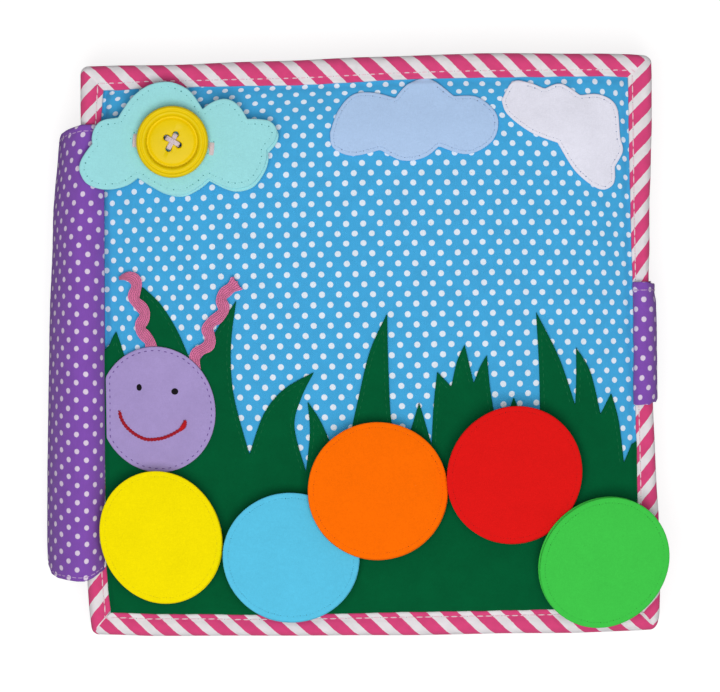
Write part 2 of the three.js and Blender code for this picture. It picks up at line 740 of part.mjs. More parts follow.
function uprightPlate(xLow, xHigh, half, zLow, zHigh) {
  const shape = rectangle(xLow, xHigh, zLow, zHigh);
  return runAlongY(shape, -half, half);
}
const flapLow = bindingBottom + 3.1;
const flapHigh = bandFront - 0.25;
const patchLow = flapLow + 1.6;
const patchHigh = frontLevel - 1.7;
const flapPlate = uprightPlate(flapIn, flapIn + strapThickness, strapHalf, flapLow, flapHigh);
const hookPlate = uprightPlate(hookIn, hookIn + patchThickness, patchHalf, patchLow, patchHigh);
const loopPlate = uprightPlate(loopIn, loopIn + patchThickness, patchHalf, patchLow, patchHigh);
add(strap, 'strap_flap', flapPlate, purpleCloth, 0.85);
add(strap, 'hook_patch', hookPlate, patchWhite, 0.9);
add(backCover, 'loop_patch', loopPlate, patchWhite, 0.95);

// Back tab: under the back cover, turned up the fore edge
function backTab() {
  const low = bindingBottom - gap - strapThickness;
  const shape = new THREE.Shape();
  shape.moveTo(strapRoot, low);
  shape.lineTo(tabOut, low);
  shape.lineTo(tabOut, patchHigh + 0.5);
  shape.lineTo(tabIn, patchHigh + 0.5);
  shape.lineTo(tabIn, low + strapThickness);
  shape.lineTo(strapRoot, low + strapThickness);
  shape.closePath();
  return runAlongY(shape, -strapHalf, strapHalf);
}
add(backCover, 'strap_back_tab', backTab(), purpleCloth, 0.85);

export default book;
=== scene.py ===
"""Dresses the closed cloth quiet book: padded cloth leaves, striped binding, felt pictures, spine band and strap."""

import math

import bpy
import numpy as np
from mathutils import Matrix, Vector, noise
from mathutils.geometry import delaunay_2d_cdt


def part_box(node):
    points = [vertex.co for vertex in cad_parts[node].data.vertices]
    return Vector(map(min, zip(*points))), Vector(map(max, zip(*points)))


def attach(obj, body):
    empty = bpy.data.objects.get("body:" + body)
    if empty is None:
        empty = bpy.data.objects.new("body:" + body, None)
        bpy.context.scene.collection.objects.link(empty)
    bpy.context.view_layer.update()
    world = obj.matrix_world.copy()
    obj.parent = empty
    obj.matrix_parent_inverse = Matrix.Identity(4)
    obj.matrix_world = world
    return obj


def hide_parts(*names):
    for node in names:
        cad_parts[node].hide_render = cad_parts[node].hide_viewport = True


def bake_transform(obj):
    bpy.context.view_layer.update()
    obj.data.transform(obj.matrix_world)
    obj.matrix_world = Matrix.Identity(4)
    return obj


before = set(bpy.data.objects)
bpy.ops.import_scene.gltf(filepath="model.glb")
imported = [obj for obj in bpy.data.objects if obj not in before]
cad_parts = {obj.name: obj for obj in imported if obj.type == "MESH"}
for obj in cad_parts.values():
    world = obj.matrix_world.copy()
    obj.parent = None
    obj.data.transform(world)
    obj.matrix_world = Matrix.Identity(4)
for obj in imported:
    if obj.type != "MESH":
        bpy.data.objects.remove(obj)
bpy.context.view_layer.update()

MM = 0.001
UV_PER_MM = 0.01
TURN = 2 * math.pi
UP = (0.0, 0.0, 1.0)


def frame_box(node):
    """A CAD node's lowest and highest corners in millimetres."""
    return [np.array(corner, float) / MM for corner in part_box(node)]


# Sizes in millimetres, the main ones read from the frame
binding_low, binding_high = frame_box("front_cover_binding")
PAGE_HALF = binding_high[0]
BINDING_WIDTH = 8.0
BINDING_INNER = PAGE_HALF - BINDING_WIDTH
EDGE_HALF = (binding_high[2] - binding_low[2]) / 2
CROWN_RUN = 18.0
FLAT_REACH = BINDING_INNER - CROWN_RUN
RAW_EDGE = PAGE_HALF - 2.8
CLOTH_EDGE_HALF = EDGE_HALF - 0.8
CLOTH = 0.5
PAGE_TOP = frame_box("front_cover_face_cloth")[1][2]
LEVELS = {leaf: sum(frame_box(f"{leaf}_binding"))[2] / 2 for leaf in ("front_cover", "second_leaf", "third_leaf", "back_cover")}
FRONT_LEVEL = LEVELS["front_cover"]
MIDDLE_HALF = PAGE_TOP - FRONT_LEVEL


# ---- Meshes ----
def make(name, vertices, faces, material, uv=None):
    """A mesh object from millimetres; uv holds one pair of millimetres for each face corner."""
    mesh = bpy.data.meshes.new(name)
    mesh.from_pydata((np.asarray(vertices, float) * MM).tolist(), [], [list(map(int, face)) for face in faces])
    if uv is not None:
        layer = mesh.uv_layers.new(name="cloth")
        layer.data.foreach_set("uv", (np.asarray(uv, float).reshape(-1) * UV_PER_MM).astype(np.float32))
    mesh.materials.append(material)
    mesh.polygons.foreach_set("use_smooth", [True] * len(mesh.polygons))
    mesh.update()
    piece = bpy.data.objects.new(name, mesh)
    bpy.context.scene.collection.objects.link(piece)
    return piece


def settle(piece, body, slot, *nodes):
    """Rides a finished piece on its body and hides the CAD nodes it stands for."""
    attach(piece, body)
    if nodes:
        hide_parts(*nodes)


def move(piece, x, y, z, turn=None, sizes=(1, 1, 1)):
    """Moves a piece's mesh to a place in millimetres, after a turn or a stretch."""
    piece.data.transform(Matrix.Translation(Vector((x, y, z)) * MM) @ (turn or Matrix.Diagonal((*sizes, 1))))


def grid_faces(rows, columns, wrap_rows=False, wrap_columns=False, start=0):
    """Quads of a grid of points held row by row."""
    r, c = np.indices((rows if wrap_rows else rows - 1, columns if wrap_columns else columns - 1))
    r2, c2 = (r + 1) % rows, (c + 1) % columns
    return np.stack([r * columns + c, r * columns + c2, r2 * columns + c2, r2 * columns + c], -1).reshape(-1, 4) + start


def shell_faces(rows, columns):
    """Quads of two grids of points, back to back, with a wall round their rims."""
    size = rows * columns
    right, left = np.arange(1, rows) * columns + columns - 1, np.arange(rows - 2, 0, -1) * columns
    rim = np.concatenate([np.arange(columns), right, size - 2 - np.arange(columns - 1), left])
    after = np.roll(rim, -1)
    wall = np.stack([after, rim, rim + size, after + size], 1)
    return np.concatenate([grid_faces(rows, columns), grid_faces(rows, columns, start=size)[:, ::-1], wall])


def corner_uv(faces, point_uv):
    """One pair for each corner of each face, from a pair for each point."""
    return np.concatenate([point_uv[list(face)] for face in faces])


def smoothstep(low, high, value):
    """From 0 at low to 1 at high, smoothly."""
    t = np.clip((np.asarray(value, float) - low) / (high - low), 0, 1)
    return t * t * (3 - 2 * t)


def dip(value, middle, width):
    """A soft bump of height 1 round a middle."""
    return np.exp(-(((value - middle) / width) ** 2))


def wander(x, y, size, seed=0.0):
    """Smooth noise between about -1 and 1 that changes over the given number of millimetres."""
    x, y = np.broadcast_arrays(np.asarray(x, float), np.asarray(y, float))
    values = [noise.noise(Vector((a / size, b / size, seed))) for a, b in zip(x.ravel(), y.ravel())]
    return np.array(values).reshape(x.shape)


def unit(vectors):
    """Vectors brought to length 1."""
    return vectors / np.maximum(np.linalg.norm(vectors, axis=-1, keepdims=True), 1e-9)


def raised(points, z):
    """Flat points at a height; flat directions at height 0."""
    return np.column_stack([points, np.broadcast_to(z, len(points))])


def together(*parts):
    """Points from their coordinates, spread over each other's rows and columns."""
    return np.stack(np.broadcast_arrays(*parts), -1).reshape(-1, len(parts))


def left_of(ways):
    """Flat directions turned a quarter to the left."""
    return np.stack([-ways[:, 1], ways[:, 0]], 1)


# ---- Lines ----
def run_along(line):
    """How far along a line each of its points is."""
    return np.r_[0, np.cumsum(np.linalg.norm(np.diff(line, axis=0), axis=1))]


def at_run(line, where):
    """A line's points at the given distances along it."""
    run = run_along(line)
    return np.stack([np.interp(where, run, part) for part in line.T], 1)


def fixed_count(line, count):
    """The same line with a fixed number of even steps."""
    return at_run(line, np.linspace(0, run_along(line)[-1], count))


def resample(points, spacing, closed=False):
    """Evenly spaced points along a line, with their directions."""
    p = np.asarray(points, float)
    if closed:
        p = np.vstack([p, p[:1]])
    p = p[np.r_[True, np.diff(run_along(p)) > 1e-6]]
    whole = run_along(p)[-1]
    count = max(1, round(whole / spacing))
    at = np.linspace(0, whole, count + 1)[: count if closed else None]
    spots = (at - spacing / 4, at, at + spacing / 4)
    before, here, after = (at_run(p, spot % whole if closed else np.clip(spot, 0, whole)) for spot in spots)
    return here, unit(after - before)


def spline(points, steps=10):
    """A curve through all the points."""
    p = np.asarray(points, float)
    p = np.vstack([p[:1], p, p[-1:]])
    a, b, c, d = (p[k : len(p) - 3 + k, None] for k in range(4))
    t = np.linspace(0, 1, steps, endpoint=False)[:, None]
    curve = 0.5 * (2 * b + (c - a) * t + (2 * a - 5 * b + 4 * c - d) * t**2 + (3 * b - a - 3 * c + d) * t**3)
    return np.vstack([curve.reshape(-1, p.shape[1]), p[-1:]])


OUTLINE_STEP = 0.9


def lobed_outline(start, lobes):
    """A closed counter-clockwise line of curved lobes that meet in corners."""
    line = []
    for lobe in lobes:
        through = np.vstack([start, lobe])
        line.append(resample(through if len(lobe) == 1 else spline(through), OUTLINE_STEP)[0][:-1])
        start = lobe[-1]
    outline = np.vstack(line)
    (x, y), (next_x, next_y) = outline.T, np.roll(outline, -1, axis=0).T
    return outline if np.sum(x * next_y - next_x * y) > 0 else outline[::-1]


def oval_reach(angle, radius, oval):
    """A hand-cut disc's radius, which swings twice round by the oval pair (along X and along the diagonal)."""
    return radius + oval[0] * np.cos(2 * angle) + oval[1] * np.sin(2 * angle)


def rounded(centre, radius, oval):
    """A hand-cut disc's outline."""
    angle = np.linspace(0, TURN, int(TURN * radius / OUTLINE_STEP), endpoint=False)
    reach = oval_reach(angle, radius, oval)
    return np.stack([centre[0] + reach * np.cos(angle), centre[1] + reach * np.sin(angle)], 1)


def in_pieces(function, points, size=1500):
    """A function's values, worked out for some points at a time."""
    return np.concatenate([function(points[k : k + size]) for k in range(0, len(points), size)])


def inside(points, loop):
    """Which points lie in a loop."""
    a, b = loop, np.roll(loop, -1, axis=0)
    rise = np.where(b[:, 1] == a[:, 1], 1e-12, b[:, 1] - a[:, 1])

    def test(p):
        x, y = p[:, :1], p[:, 1:]
        spans = (a[:, 1] > y) != (b[:, 1] > y)
        return (spans & (x < a[:, 0] + (y - a[:, 1]) * (b[:, 0] - a[:, 0]) / rise)).sum(1) % 2 == 1

    return in_pieces(test, points)


def edge_distance(points, loops):
    """How far each point is from the nearest of the loops."""
    a = np.vstack(loops)
    d = np.vstack([np.roll(loop, -1, axis=0) for loop in loops]) - a
    squared = np.maximum((d**2).sum(1), 1e-12)

    def measure(p):
        away = p[:, None, :] - a
        t = np.clip((away * d).sum(2) / squared, 0, 1)
        return np.sqrt(((away - t[..., None] * d) ** 2).sum(2)).min(1)

    return in_pieces(measure, points)


def inward(loop):
    """Directions from a counter-clockwise loop into its inside."""
    return left_of(unit(np.roll(loop, -1, axis=0) - np.roll(loop, 1, axis=0)))


# ---- Stitches, threads and turned pieces ----
STITCH_STATIONS = np.array([-0.5, -0.4, -0.2, 0.0, 0.2, 0.4, 0.5])
STITCH_GIRTH = np.array([0.15, 0.7, 0.95, 1.0, 0.95, 0.7, 0.15])
STITCH_SIDES = 7
STITCH_SUNK, STITCH_FLATNESS = 0.35, 0.8
TUBE_SIDES = 8


def stitch_mesh(name, centres, along, up, length, width, material):
    """Many small stitches: each a short bead of thread whose ends dip into the cloth."""
    up = np.broadcast_to(np.asarray(up, float), centres.shape)
    side = unit(np.cross(up, along))[:, None, None]
    count, each = len(centres), len(STITCH_STATIONS) * STITCH_SIDES
    angle = (np.arange(STITCH_SIDES) * TURN / STITCH_SIDES)[:, None]
    lengths, widths = (np.broadcast_to(size, count)[:, None, None] for size in (length, width))
    middle = centres[:, None] + along[:, None] * STITCH_STATIONS[:, None] * lengths
    middle = middle - up[:, None] * STITCH_SUNK * widths * 4 * STITCH_STATIONS[:, None] ** 2
    round_off = np.cos(angle) * side + np.sin(angle) * up[:, None, None] * STITCH_FLATNESS
    points = middle[:, :, None] + round_off * (STITCH_GIRTH[:, None] * widths / 2)[..., None]
    one = grid_faces(len(STITCH_STATIONS), STITCH_SIDES, wrap_columns=True)[:, ::-1]
    faces = (one[None] + np.arange(count)[:, None, None] * each).reshape(-1, 4).tolist()
    for k in range(count):
        faces += [k * each + np.arange(STITCH_SIDES), (k + 1) * each - 1 - np.arange(STITCH_SIDES)]
    return make(name, points.reshape(-1, 3), faces, material)


def beside_path(along, up=UP):
    """The two directions across a path."""
    side = unit(np.cross(along, np.broadcast_to(up, along.shape)) + 1e-6)
    return side, np.cross(side, along)


def tube(name, path, radius, material, up=UP):
    """A closed tube along a path in millimetres; radius may change along it."""
    side, over = beside_path(unit(np.gradient(path, axis=0)), up)
    angle = (np.arange(TUBE_SIDES) * TURN / TUBE_SIDES)[:, None]
    ring = np.cos(angle) * side[:, None] + np.sin(angle) * over[:, None]
    points = path[:, None] + ring * np.broadcast_to(radius, len(path))[:, None, None]
    faces = grid_faces(len(path), TUBE_SIDES, wrap_columns=True).tolist()
    faces += [range(TUBE_SIDES)[::-1], (len(path) - 1) * TUBE_SIDES + np.arange(TUBE_SIDES)]
    return make(name, points.reshape(-1, 3), faces, material)


def twisted(name, path, strands, radius, pitch, material):
    """Plied thread: strands wound round a path."""
    p, along = resample(path, radius * 0.5)
    side, over = beside_path(along)
    run = run_along(p)
    fade = smoothstep(0, radius * 2, run) * smoothstep(0, radius * 2, run[-1] - run)
    parts = []
    for k in range(strands):
        turn = (run * TURN / pitch + k * TURN / strands)[:, None]
        offset = (np.cos(turn) * side + np.sin(turn) * over) * radius * 0.5
        parts.append(tube(f"{name}_{k}", p + offset, radius * (0.25 + 0.37 * fade), material))
    return join(name, parts)


def join(name, parts):
    """One object from several meshes of one material."""
    vertices, faces, start = [], [], 0
    for part in parts:
        co = np.zeros(len(part.data.vertices) * 3, np.float32)
        part.data.vertices.foreach_get("co", co)
        vertices.append(co.reshape(-1, 3) / MM)
        faces.extend([[v + start for v in polygon.vertices] for polygon in part.data.polygons])
        start += len(part.data.vertices)
    material = parts[0].data.materials[0]
    for part in parts:
        bpy.data.objects.remove(part)
    return make(name, np.vstack(vertices), faces, material)


def lathe(name, profile, steps, material):
    """A closed body of revolution round Z, from (radius, height) pairs, top middle to bottom middle."""
    radii, heights = np.array(profile[1:-1], float).T
    angle = np.arange(steps) * TURN / steps
    rings = np.stack([np.outer(radii, np.cos(angle)), np.outer(radii, np.sin(angle)), np.outer(heights, np.ones(steps))], -1)
    points = np.vstack([[0, 0, profile[0][1]], rings.reshape(-1, 3), [0, 0, profile[-1][1]]])
    faces = grid_faces(len(radii), steps, wrap_columns=True, start=1)[:, ::-1].tolist()
    last = len(points) - 1
    for k in range(steps):
        after = (k + 1) % steps
        faces += [[0, 1 + k, 1 + after], [last, last - steps + after, last - steps + k]]
    return make(name, points, faces, material)


# ---- Materials ----
def linear(code):
    """A scene colour from a web colour."""
    channel = [int(code[k : k + 2], 16) / 255 for k in (1, 3, 5)]
    return [c / 12.92 if c <= 0.04045 else ((c + 0.055) / 1.055) ** 2.4 for c in channel] + [1.0]


def darker(code, factor):
    """A web colour with its channels made smaller."""
    return "#" + "".join(f"{int(int(code[k : k + 2], 16) * factor):02X}" for k in (1, 3, 5))


class Shader:
    """A node material in the making."""

    def __init__(self, name, roughness, specular, sheen=0.0):
        self.material = bpy.data.materials.new(name)
        self.material.use_nodes = True
        self.tree = self.material.node_tree
        self.surface = self.tree.nodes["Principled BSDF"]
        self.set(Roughness=roughness, Specular_IOR_Level=specular, Sheen_Weight=sheen, Sheen_Roughness=0.5)

    def set(self, **values):
        for name, value in values.items():
            self.surface.inputs[name.replace("_", " ")].default_value = value

    def put(self, socket, value):
        if isinstance(value, bpy.types.NodeSocket):
            self.tree.links.new(value, socket)
        else:
            socket.default_value = value

    def node(self, kind, inputs=(), output=0, **settings):
        """A node's output; its inputs come in order, or as a table of names or numbers."""
        made = self.tree.nodes.new(kind)
        for key, value in settings.items():
            setattr(made, key, value)
        for key, value in inputs.items() if isinstance(inputs, dict) else enumerate(inputs):
            self.put(made.inputs[key], value)
        return made.outputs[output]

    def math(self, operation, a, b=0.0):
        return self.node("ShaderNodeMath", (a, b), operation=operation)

    def add(self, a, b):
        return self.math("ADD", a, b)

    def times(self, a, b):
        return self.math("MULTIPLY", a, b)

    def vector(self, operation, a, b=(0, 0, 0), output=0):
        return self.node("ShaderNodeVectorMath", (a, b), output, operation=operation)

    def scaled(self, where, *sizes):
        return self.vector("MULTIPLY", where, sizes)

    def place(self):
        """The point of the piece in millimetres."""
        return self.scaled(self.node("ShaderNodeTexCoord", output="Object"), *(1 / MM,) * 3)

    def cloth(self):
        """The point of the flat cloth in millimetres."""
        return self.scaled(self.node("ShaderNodeUVMap", uv_map="cloth"), 1 / UV_PER_MM, 1 / UV_PER_MM, 0)

    def axes(self, where):
        return self.node("ShaderNodeSeparateXYZ", (where,)).node.outputs

    def noise(self, where, size, detail=2.0, rough=0.5, output=0):
        return self.node("ShaderNodeTexNoise", dict(Vector=where, Scale=1 / size, Detail=detail, Roughness=rough), output)

    def wave(self, value, length):
        """A sine wave of a length."""
        return self.math("SINE", self.times(value, TURN / length))

    def mix(self, factor, a, b, blend="MIX"):
        return self.node("ShaderNodeMix", {0: factor, 6: a, 7: b}, 2, data_type="RGBA", blend_type=blend)

    def span(self, value, low, high, to_low=0.0, to_high=1.0, kind="SMOOTHSTEP"):
        return self.node("ShaderNodeMapRange", (value, low, high, to_low, to_high), interpolation_type=kind)

    def tone(self, noise_value, low, high):
        """A noise turned into a factor between two values."""
        return self.span(noise_value, 0.3, 0.7, low, high, "LINEAR")

    def paint(self, colour, tone):
        """Sets the surface's colour, made lighter and darker by a factor round 1."""
        grey = self.node("ShaderNodeCombineColor", (tone,) * 3)
        self.put(self.surface.inputs["Base Color"], self.mix(1.0, colour, grey, "MULTIPLY"))

    def bump(self, height, distance):
        """Height in units of the distance, which is in millimetres."""
        bumped = self.node("ShaderNodeBump", dict(Height=height, Distance=distance * MM, Strength=1.0))
        self.put(self.surface.inputs["Normal"], bumped)
        return self.material


WEAVE_PITCH = 0.62


def weave_height(shader, where):
    """Plain weave: threads passing over and under each other."""
    parts = shader.axes(where)
    return shader.times(shader.wave(parts[0], WEAVE_PITCH), shader.wave(parts[1], WEAVE_PITCH))


def dots(shader, where, pitch, radius, ragged, blur=0.12):
    """A mask of round dots set in a quincunx; pitch is the full cell."""
    masks = []
    for shift in (0.0, 0.5):
        cell = shader.vector("ADD", shader.vector("DIVIDE", where, (*pitch, 1)), (shift, shift, 0))
        cell = shader.vector("SUBTRACT", shader.vector("FRACTION", cell), (0.5, 0.5, 0))
        off = shader.vector("LENGTH", shader.scaled(cell, *pitch, 0), output=1)
        masks.append(shader.span(shader.add(off, ragged), radius + blur, radius - blur))
    return shader.math("MAXIMUM", *masks)


def rough_edge(shader, where, size, detail, amount):
    """A small noise round 0 that makes a printed edge uneven."""
    return shader.times(shader.math("SUBTRACT", shader.noise(where, size, detail), 0.5), amount)


def cotton(name, base, wrinkle, dot=None, pitch=None, radius=None, origin=None):
    """Plain-weave cotton, printed with dots where a dot colour is given."""
    shader = Shader(name, 0.88, 0.2, sheen=0.12)
    where = shader.cloth()
    yarn = shader.noise(shader.scaled(where, 1, 0.12, 1), 0.35)
    tone = shader.add(shader.tone(shader.noise(where, 7.0, 3.0), 0.955, 1.045), shader.tone(yarn, -0.03, 0.03))
    colour = linear(base)
    if dot:
        drift = shader.scaled(shader.noise(where, 14, 1.0, output=1), 0.7, 0.7, 0)
        printed_at = shader.vector("ADD", shader.vector("SUBTRACT", where, (*origin, 0)), drift)
        mask = dots(shader, printed_at, pitch, radius, rough_edge(shader, where, 0.4, 1.0, 0.25))
        colour = shader.mix(mask, colour, linear(dot))
    shader.paint(colour, tone)
    weave = shader.times(weave_height(shader, where), 0.08)
    return shader.bump(shader.add(weave, shader.times(shader.noise(where, 3.2), wrinkle)), 0.9)


def striped(name, pink, white, share):
    """Woven cotton with diagonal stripes; the map's first part counts stripes' pitches, and pink takes its share of each."""
    shader = Shader(name, 0.88, 0.2, sheen=0.12)
    place = shader.place()
    count = shader.axes(shader.cloth())[0]
    phase = shader.math("FRACT", shader.add(count, rough_edge(shader, place, 1.2, 3.0, 0.05)))
    edge = 0.012
    mask = shader.times(shader.span(phase, 0.0, 2 * edge), shader.span(phase, share - edge, share + edge, 1.0, 0.0))
    shader.paint(shader.mix(mask, linear(white), linear(pink)), shader.tone(shader.noise(place, 4.0, 3.0), 0.94, 1.05))
    weave = shader.times(weave_height(shader, place), 0.07)
    return shader.bump(shader.add(weave, shader.times(shader.noise(place, 2.4, 3.0), 0.45)), 0.9)


def felt(name, base, mottle=0.02, fuzz=1.0):
    """Needle felt: matted fibres, a soft nap and slight mottling."""
    shader = Shader(name, 0.96, 0.08, sheen=0.15)
    shader.set(Sheen_Tint=linear(base))
    place = shader.place()
    bent = shader.vector("ADD", place, shader.scaled(shader.noise(place, 2.5, 1.0, output=1), 2.5, 2.5, 2.5))
    fibres = shader.add(*(shader.noise(shader.scaled(bent, *way), 0.42, 3.0, 0.6) for way in ((0.22, 1.5, 1), (1.5, 0.22, 1))))
    patches = shader.tone(shader.noise(place, 9.0, 4.0, 0.6), 1 - mottle, 1 + mottle)
    shader.paint(linear(base), shader.add(patches, shader.span(fibres, 0.8, 1.2, -0.035, 0.035, "LINEAR")))
    lumps = shader.times(shader.noise(place, 4.5), 0.45)
    return shader.bump(shader.add(shader.times(fibres, 0.2 * fuzz), lumps), 0.5)


def thread(name, base, roughness=0.75):
    """Spun thread, its plies showing as fine slanted ridges."""
    shader = Shader(name, roughness, 0.12, sheen=0.04)
    place = shader.place()
    ridge = shader.wave(shader.vector("DOT_PRODUCT", place, (1.0, 0.8, 1.3), output=1), 0.5)
    fluff = shader.noise(place, 0.3, 3.0)
    shader.paint(linear(base), shader.tone(fluff, 0.9, 1.08))
    return shader.bump(shader.add(shader.times(ridge, 0.3), fluff), 0.12)


def plastic(name, base, roughness):
    """Moulded plastic with a faint unevenness."""
    shader = Shader(name, roughness, 0.1)
    place = shader.place()
    shader.paint(linear(base), shader.tone(shader.noise(place, 5.0), 0.97, 1.02))
    return shader.bump(shader.noise(place, 1.6, 3.0), 0.03)


FEELER_WIDTH, FEELER_THICK, FEELER_RIBS = 3.9, 0.95, 6


def rickrack(name, base):
    """Woven braid ribbed along its length; the map runs along and across; its colour has painted shade in the grooves
    and the weave's dips, and painted highlight on the ridges.
    """
    shader = Shader(name, 0.8, 0.2, sheen=0.15)
    where = shader.cloth()
    bent = shader.vector("ADD", where, shader.scaled(shader.noise(where, 5 / 3, 1.0, output=1), 0.5, 0.45, 0))
    parts = shader.axes(bent)
    across = shader.wave(parts[1], FEELER_WIDTH / FEELER_RIBS)
    along = shader.math("SINE", shader.add(shader.times(parts[0], TURN / 0.75), shader.times(parts[1], 4.0)))
    speck = shader.span(shader.noise(where, 0.45, 3.0), 0.56, 0.66, 0.0, -0.28)
    # Painted shade in the grooves and painted highlight on the ridges, following the same waves as the bump
    rib_shade_and_highlight = shader.span(across, -1, 1, 0.72, 1.14, "LINEAR")
    shader.paint(linear(base), shader.add(rib_shade_and_highlight, shader.add(speck, shader.times(along, 0.05))))
    return shader.bump(shader.add(shader.times(across, 0.5), shader.times(along, 0.25)), 0.3)


FACE = cotton("face_cotton", "#43AEE6", 0.22, "#E9F3FF", (5.96, 7.12), 1.05, (-28.82, 11.09))
PURPLE = cotton("purple_cotton", "#8650B6", 0.35, "#E6D6EC", (7.12, 6.06), 0.95, (0.35, 0.35))
STRAP_CLOTH = cotton("strap_cotton", "#8650B6", 0.35, "#E6D6EC", (6.9, 6.06), 0.96, (0.35, 0.35))
PLAIN = cotton("plain_cotton", "#E8E2E6", 0.4)
STRIPED = striped("striped_cotton", "#DF467F", "#ECE6EA", 0.58)
THREAD_COLOURS = {
    "topstitch": "#F0D3DD", "white": "#DFCDD2", "lilac": "#6C4E94", "grass": "#0F6B40", "pale_blue": "#ACC7EA",
    "cloud": "#E0DFEC", "mint": "#99DADD", "hem": "#C9A6D6",
}
THREAD = {name: thread(f"{name}_thread", code) for name, code in THREAD_COLOURS.items()}
THREAD["mouth"] = thread("mouth_thread", "#AE1A2B", 0.6)
THREAD["knot"] = thread("knot_thread", "#CC1822", 0.6)
THREAD["eye"] = thread("eye_thread", "#171418", 0.9)
# Needle holes: small dark beads of painted shade, standing for the shade inside each hole
HOLE_SHADE_COLOURS = {"grey": "#9C929B", "soft": "#8A9ABA", "mint": "#4A9296"}
HOLE_SHADE = {name: thread(f"{name}_needle_hole_shade", code) for name, code in HOLE_SHADE_COLOURS.items()}
GRASS = felt("grass_felt", "#005730", 0.07)
PALE_BLUE = felt("pale_blue_felt", "#B0CAED")
CLOUD_WHITE = felt("cloud_white_felt", "#E5E4F1", 0.03)
MINT = felt("mint_felt", "#9CDDE1")
LILAC = felt("lilac_felt", "#A593C8", 0.045)
PATCH = felt("hook_loop_pile", "#E9E9EA", 0.03, 2.0)
BUTTON = plastic("button_plastic", "#E9CA04", 0.36)
SNAP = plastic("snap_plastic", "#F0F0EE", 0.4)
RICKRACK = rickrack("rickrack_braid", "#F480B2")
DISC_COLOURS = {"yellow": "#F5E100", "light_blue": "#5AC3E6", "orange": "#FF6E00", "red": "#DE1614", "green": "#40C549"}


# ---- Leaves ----
def cloth_half(x, y):
    """Half a leaf's thickness over its cloth: padded in the middle, thin at the binding."""
    rise = 0.5 + 0.5 * np.cos(math.pi * np.clip((np.abs([x, y]) - FLAT_REACH) / CROWN_RUN, 0, 1))
    return CLOTH_EDGE_HALF + (MIDDLE_HALF - CLOTH_EDGE_HALF) * rise[0] * rise[1]


def page_z(x, y):
    """The height of the front cover's cloth."""
    return FRONT_LEVEL + cloth_half(x, y)


# How far the sewn book departs from a square: places along a side, and how far out its edge or its binding's inner fold lies
FORE_EDGE = (
    [-100, -95, -86, -60, -51, -43, -34, -26, 0, 25, 33, 50, 58, 67, 75, 92, 100],
    [-0.6, 0.6, 1.0, 0.85, 0.35, 0.1, -0.15, -0.5, -1.3, -1.4, -0.95, -0.66, -0.2, 0.0, 0.4, 0.7, 0.5],
)
SPINE_EDGE = ([-100, -91, -82, 0, 87, 100], [-0.7, 0.3, 0.9, 0.9, 0.8, 0.5])
TOP_EDGE = (
    [-100, -86, -65, -44, -23, -2, 19, 40, 61, 82, 93, 100],
    [0.1, 0.4, 0.35, 0.85, 1.25, 2.0, 2.4, 2.75, 2.45, 2.15, 1.65, 0.9],
)
BOTTOM_EDGE = ([-100, -89, -79, -58, -37, -16, 16, 48, 69, 90, 100], [0.0, 0.3, 0.8, 1.1, 1.4, 1.7, 1.85, 1.95, 1.9, 1.5, 1.1])
FORE_FOLD = ([-92, -43, 0, 25, 50, 84, 92], [1.2, 1.35, 1.1, 0.75, 0.4, 0.25, 0.2])
SPINE_FOLD = ([-92, -82, -76, 76, 80, 87, 92], [0.7, 1.5, 1.9, 1.9, 1.6, 1.0, 0.5])
TOP_FOLD = ([-92, -87, -76, -23, -2, 8, 30, 60, 82, 92], [-0.4, -0.4, 0.2, 0.4, 1.2, 1.7, 2.1, 2.05, 2.0, 1.6])
BOTTOM_FOLD = ([-92, -89, -79, -58, -47, -15, 5, 27, 48, 58, 92], [0.3, 0.35, 1.0, 1.3, 1.8, 1.85, 1.7, 1.65, 1.6, 1.45, 1.2])
EDGES = ((FORE_EDGE, SPINE_EDGE), (TOP_EDGE, BOTTOM_EDGE))
FOLDS = ((FORE_FOLD, SPINE_FOLD), (TOP_FOLD, BOTTOM_FOLD))
BOW_START = 45


def bow(reach, along, sides):
    """How far the nearer of two opposite sides bows out."""
    return np.where(reach > 0, np.interp(along, *sides[0]), np.interp(along, *sides[1]))


def fold_reach(x, y):
    """How far the binding's inner fold lies from the middle line on the side nearest in X, and in Y."""
    return BINDING_INNER + bow(x, y, FOLDS[0]), BINDING_INNER + bow(y, x, FOLDS[1])


def warp(points):
    """The sewn book isn't quite square: its edges bow out, and the strap pulls the fore edge in."""
    p = points.copy()
    for axis in (0, 1):
        reach, along = points[:, axis], points[:, 1 - axis]
        inner, outer = bow(reach, along, FOLDS[axis]), bow(reach, along, EDGES[axis])
        share = np.clip((np.abs(reach) - BINDING_INNER) / BINDING_WIDTH, 0, 1)
        p[:, axis] += np.sign(reach) * smoothstep(BOW_START, BINDING_INNER, np.abs(reach)) * (inner + (outer - inner) * share)
    return p


def wrinkles(x, y, seed):
    """Slack in the padded cloth: slow waves, and puckers where the binding grips it."""
    grip = 0
    for reach, along, length, drift in ((x, y, 7.3, wander(x, y, 25, seed)), (y, x, 8.1, wander(x, y, 22, seed + 5))):
        near = np.clip(BINDING_INNER - np.abs(reach), 0, None)
        grip = grip + np.exp(-near / 5) * np.sin(along * TURN / length + 2 * drift)
    return 0.10 * grip + 0.16 * wander(x, y, 26, seed) + 0.06 * wander(x, y, 9, seed + 2)


POWERS = ((0, 0), (1, 0), (0, 1), (2, 0), (1, 1), (0, 2), (3, 0), (2, 1), (1, 2), (0, 3))


def cubic(factors, u, v):
    """A cubic of two values from the factors of its powers."""
    return sum(factor * u**i * v**j for factor, (i, j) in zip(factors, POWERS))


